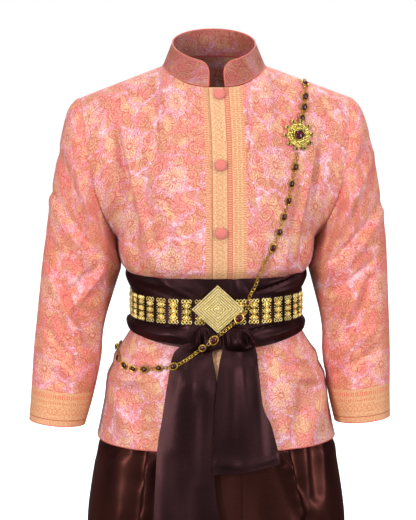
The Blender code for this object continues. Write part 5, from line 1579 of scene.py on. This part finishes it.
# Chain: small dark red stones in gilt settings, joined by links. It goes over the left shoulder,
# across the chest to the buckle, round the right hip and up across the back.
# Under each side that a point is laid on from: its two places and its stone, or none.
CHAIN_SHOULDER = {
    "top": (
        (0.1535, -0.0050, 0.0), (0.1512, -0.0230, 0.0060),
    ),
    "front": (
        (0.1488, -0.0560, 0.0060), (0.1464, -0.0730, 0.0062), (0.1420, -0.0905, 0.0056),
        (0.1400, -0.0960, 0.0),
    ),
}
CHAIN_CHEST = {
    "front": (
        (0.1321, -0.1485, 0.0), (0.1285, -0.1720, 0.0057), (0.1220, -0.2000, 0.0057),
        (0.1164, -0.2280, 0.0057), (0.1078, -0.2552, 0.0057), (0.0998, -0.2809, 0.0057),
        (0.0886, -0.3075, 0.0057), (0.0730, -0.3349, 0.0), (0.0610, -0.3670, 0.0),
        (0.0500, -0.3890, 0.0), (0.0452, -0.4000, 0.0040), (0.0446, -0.4130, 0.0),
        (0.0308, -0.4268, 0.0066), (0.0170, -0.4390, 0.0), (0.0060, -0.4480, 0.0),
    ),
}
CHAIN_WAIST = {
    "front": (
        (0.0040, -0.4500, 0.0), (-0.0040, -0.4560, 0.0), (-0.0145, -0.4625, 0.0068),
        (-0.0300, -0.4735, 0.0050), (-0.0470, -0.4880, 0.0), (-0.0600, -0.4960, 0.0),
        (-0.0800, -0.5060, 0.0057), (-0.1040, -0.5125, 0.0050), (-0.1274, -0.5165, 0.0057),
        (-0.1468, -0.5178, 0.0050), (-0.1620, -0.5155, 0.0057),
    ),
    "right": (
        (-0.0500, -0.5080, 0.0057), (-0.0230, -0.5010, 0.0),
    ),
}
CHAIN_BACK = {
    "right": (
        (-0.0200, -0.5005, 0.0), (0.0200, -0.5005, 0.0057), (0.0600, -0.5040, 0.0057),
    ),
    "back": (
        (-0.1420, -0.5070, 0.0057), (-0.1140, -0.5000, 0.0057), (-0.0880, -0.4800, 0.0),
        (-0.0700, -0.4540, 0.0057), (-0.0440, -0.4160, 0.0), (-0.0220, -0.3800, 0.0057),
        (-0.0110, -0.3612, 0.0), (0.0060, -0.3360, 0.0), (0.0280, -0.3000, 0.0057),
        (0.0560, -0.2500, 0.0057), (0.0840, -0.2000, 0.0057), (0.1080, -0.1520, 0.0057),
        (0.1290, -0.1060, 0.0057),
    ),
    "top": (
        (0.1430, 0.0730, 0.0), (0.1500, 0.0450, 0.0057), (0.1540, 0.0120, 0.0),
    ),
}
STONE_LENGTH, STONE_SHARE, STONE_FLAT = 1.22, 0.86, 0.62
SETTING_WIRE, SETTING_PLATE, SETTING_RISE, SETTING_CLEAR = 0.0011, 0.0012, 0.0014, 0.0008
LINK_RADIUS, LINK_WIRE, LINK_HALF = 0.0030, 0.0008, 0.0020
LINK_PITCH, LINK_CLEAR, LINK_FROM_STONE = 0.0060, 0.0012, 0.0010
LINK_STRETCH, LINK_TILT = (0.82, 1.20, 1.0, 1.0), math.radians(18)
CHAIN_STEPS = 24
SEARCH_HEIGHT = 0.02

make = Finish("ruby", 0.11, Specular_IOR_Level=0.35)
ruby = make.finish(make.clouded(make.noise(make.spot(), 320.0), colour(30, 1, 4), colour(84, 4, 12)))

under_chain = skin_of([
    right_front, left_front, jacket_back, collar, sash, knot, right_tail, left_tail, buckle, *belt_pieces])


def lift_needed(skin, centre, normal, halves, clearance):
    """How far a small flat piece of the chain has to rise to clear what lies under it."""
    falls = []
    for half in halves:
        for share in (-1.0, -0.5, 0.0, 0.5, 1.0):
            start = centre + half * share + normal * SEARCH_HEIGHT
            falls.append(skin.ray_cast(start, -normal, 2 * SEARCH_HEIGHT)[3])
    rises = [SEARCH_HEIGHT + clearance - fall for fall in falls if fall is not None]
    return max(rises, default=0.0)


def chain(name, rests):
    table, sizes = [], []
    for side, first, second, stone in [(side, *row) for side, rows in rests.items() for row in rows]:
        place, normal = touch(under_chain, side, first, second)
        around = {
            "front": Vector((place.x * 0.35, -0.10, 0.0)),
            "back": Vector((place.x * 0.35, 0.10, 0.0)),
            "right": Vector((place.x, place.y, 0.0)),
            "top": Vector((place.x * 0.6, place.y * 4.0, 0.12)),
        }[side].normalized()
        table.append((*place, *(normal * 0.4 + around).normalized()))
        sizes.append(stone)
    links, stones = bmesh.new(), bmesh.new()

    def settled(place, half, clearance):
        values = along(table, place)
        centre, normal = Vector(values[:3]), Vector(values[3:]).normalized()
        ahead = Vector(along(table, place + 0.05)[:3]) - Vector(along(table, place - 0.05)[:3])
        across, ahead = ahead.cross(normal).normalized(), ahead.normalized()
        corners = (across + ahead) * half * 0.7, (across - ahead) * half * 0.7
        halves = (across * half, ahead * half, *corners)
        centre += normal * lift_needed(under_chain, centre, normal, halves, clearance)
        return placing(centre, normal, ahead)

    places = [step / CHAIN_STEPS for step in range((len(table) - 1) * CHAIN_STEPS + 1)]
    path = [Vector(along(table, place)[:3]) for place in places]
    run = [0.0]
    for before, after in zip(path, path[1:]):
        run.append(run[-1] + (after - before).length)
    blocked = []
    for number, radius in enumerate(sizes):
        if not radius:
            continue
        blocked.append((run[number * CHAIN_STEPS], radius * STONE_LENGTH + LINK_FROM_STONE))
        matrix = settled(number, radius, SETTING_CLEAR) @ Matrix.Diagonal((1.0, STONE_LENGTH, 1.0, 1.0))
        made = add_ring(links, (0, 0, SETTING_RISE), radius, SETTING_WIRE, 20, 6)
        disc = bmesh.ops.create_cone(links, cap_ends=True, segments=18, radius1=radius,
                                     radius2=radius, depth=SETTING_PLATE)["verts"]
        bmesh.ops.translate(links, verts=disc, vec=(0, 0, SETTING_PLATE / 2))
        put(links, matrix, made + disc)
        put(stones, matrix, add_dome(stones, 18, 10, radius * STONE_SHARE, STONE_FLAT, SETTING_RISE))
    count = int(run[-1] / LINK_PITCH)
    for number in range(count + 1):
        wanted = (number + 0.5) * run[-1] / (count + 1)
        if any(abs(wanted - at) < reach for at, reach in blocked):
            continue
        step = max(index for index in range(len(run) - 1) if run[index] <= wanted)
        share = (wanted - run[step]) / max(run[step + 1] - run[step], 1e-9)
        matrix = settled(mix(places[step], places[step + 1], share), LINK_HALF, LINK_CLEAR)
        tilt = Matrix.Rotation(LINK_TILT if number % 2 else -LINK_TILT, 4, "Y")
        turn = matrix @ tilt @ Matrix.Diagonal(LINK_STRETCH)
        add_ring(links, (0, 0, 0), LINK_RADIUS, LINK_WIRE, 12, 5, turn)
    bmesh.ops.recalc_face_normals(links, faces=links.faces)
    make_piece(name + "_links", links, gold, "gold", name)
    make_piece(name + "_stones", stones, ruby, "ruby")


chain("chain_shoulder", CHAIN_SHOULDER)
chain("chain_chest", CHAIN_CHEST)
chain("chain_waist", CHAIN_WAIST)
chain("chain_back", CHAIN_BACK)

# Brooch: a gilt filigree star with ten points round a large dark red stone, with a small stone on
# each point, pinned where the chain crosses the chest.
BROOCH_AT = (0.1355, -0.1190)
BROOCH_POINTS, BROOCH_STEP = 10, 2 * math.pi / 10
BROOCH_LIFT, BROOCH_SIZE = 0.0024, (1.06, 1.06, 1.0, 1.0)
STAR_RADIUS, STAR_THICKNESS, STAR_WAIST = 0.0225, 0.0016, 0.80
TIP_AT, EYE_AT, SEED_AT = 0.0232, 0.0168, 0.0126
WAIST_BEADS = ((0.0196, 0.0010), (0.0172, 0.0010), (0.0148, 0.0012))  # off the middle, radius
WORK_RISE = Vector((0, 0, 0.0014))
RUBY_RADIUS, RUBY_FLAT, RUBY_RISE = 0.0076, 0.55, 0.0030

brooch_gold = gilt("brooch_gold", colour(96, 66, 16), colour(236, 214, 114), 0.32)
place, normal = touch(under_chain, "front", *BROOCH_AT)
star, stones = bmesh.new(), bmesh.new()
bmesh.ops.create_cone(star, cap_ends=True, segments=2 * BROOCH_POINTS, radius1=STAR_RADIUS,
                      radius2=STAR_RADIUS, depth=STAR_THICKNESS)
for corner in star.verts:
    if round(math.atan2(corner.co.y, corner.co.x) / (BROOCH_STEP / 2)) % 2:
        corner.co.xy *= STAR_WAIST
for number in range(BROOCH_POINTS):
    ray, between = (
        Vector((math.cos(turn), math.sin(turn), 0.0))
        for turn in (number * BROOCH_STEP, (number + 0.5) * BROOCH_STEP)
    )
    add_ring(star, ray * TIP_AT + WORK_RISE, 0.0026, 0.0011, 12, 5)
    add_bead(stones, ray * TIP_AT + WORK_RISE, 0.0018, 0.7, 2)
    add_ring(star, ray * EYE_AT + WORK_RISE, 0.0030, 0.0007, 14, 5)
    add_bead(star, ray * EYE_AT + Vector((0, 0, 0.0016)), 0.0014, 0.8)
    for off, radius in WAIST_BEADS:
        add_bead(star, between * off + WORK_RISE, radius)
    for step in (-0.25, 0.25):
        turned = Matrix.Rotation(step * BROOCH_STEP, 3, "Z") @ ray
        add_bead(star, turned * SEED_AT + Vector((0, 0, 0.0020)), 0.0013)
add_ring(star, (0, 0, RUBY_RISE), 0.0092, 0.0012, 30, 6)
bmesh.ops.create_cone(star, cap_ends=True, segments=24, radius1=0.0108, radius2=0.0088, depth=0.0036)
add_dome(stones, 28, 16, RUBY_RADIUS, RUBY_FLAT, RUBY_RISE)
bmesh.ops.recalc_face_normals(star, faces=star.faces)
for shape in (star, stones):
    put(shape, placing(place + normal * BROOCH_LIFT, normal) @ Matrix.Diagonal(BROOCH_SIZE))
make_piece("brooch_star", star, brooch_gold, "gold", "brooch")
make_piece("brooch_stones", stones, ruby, "ruby", "brooch_ruby")
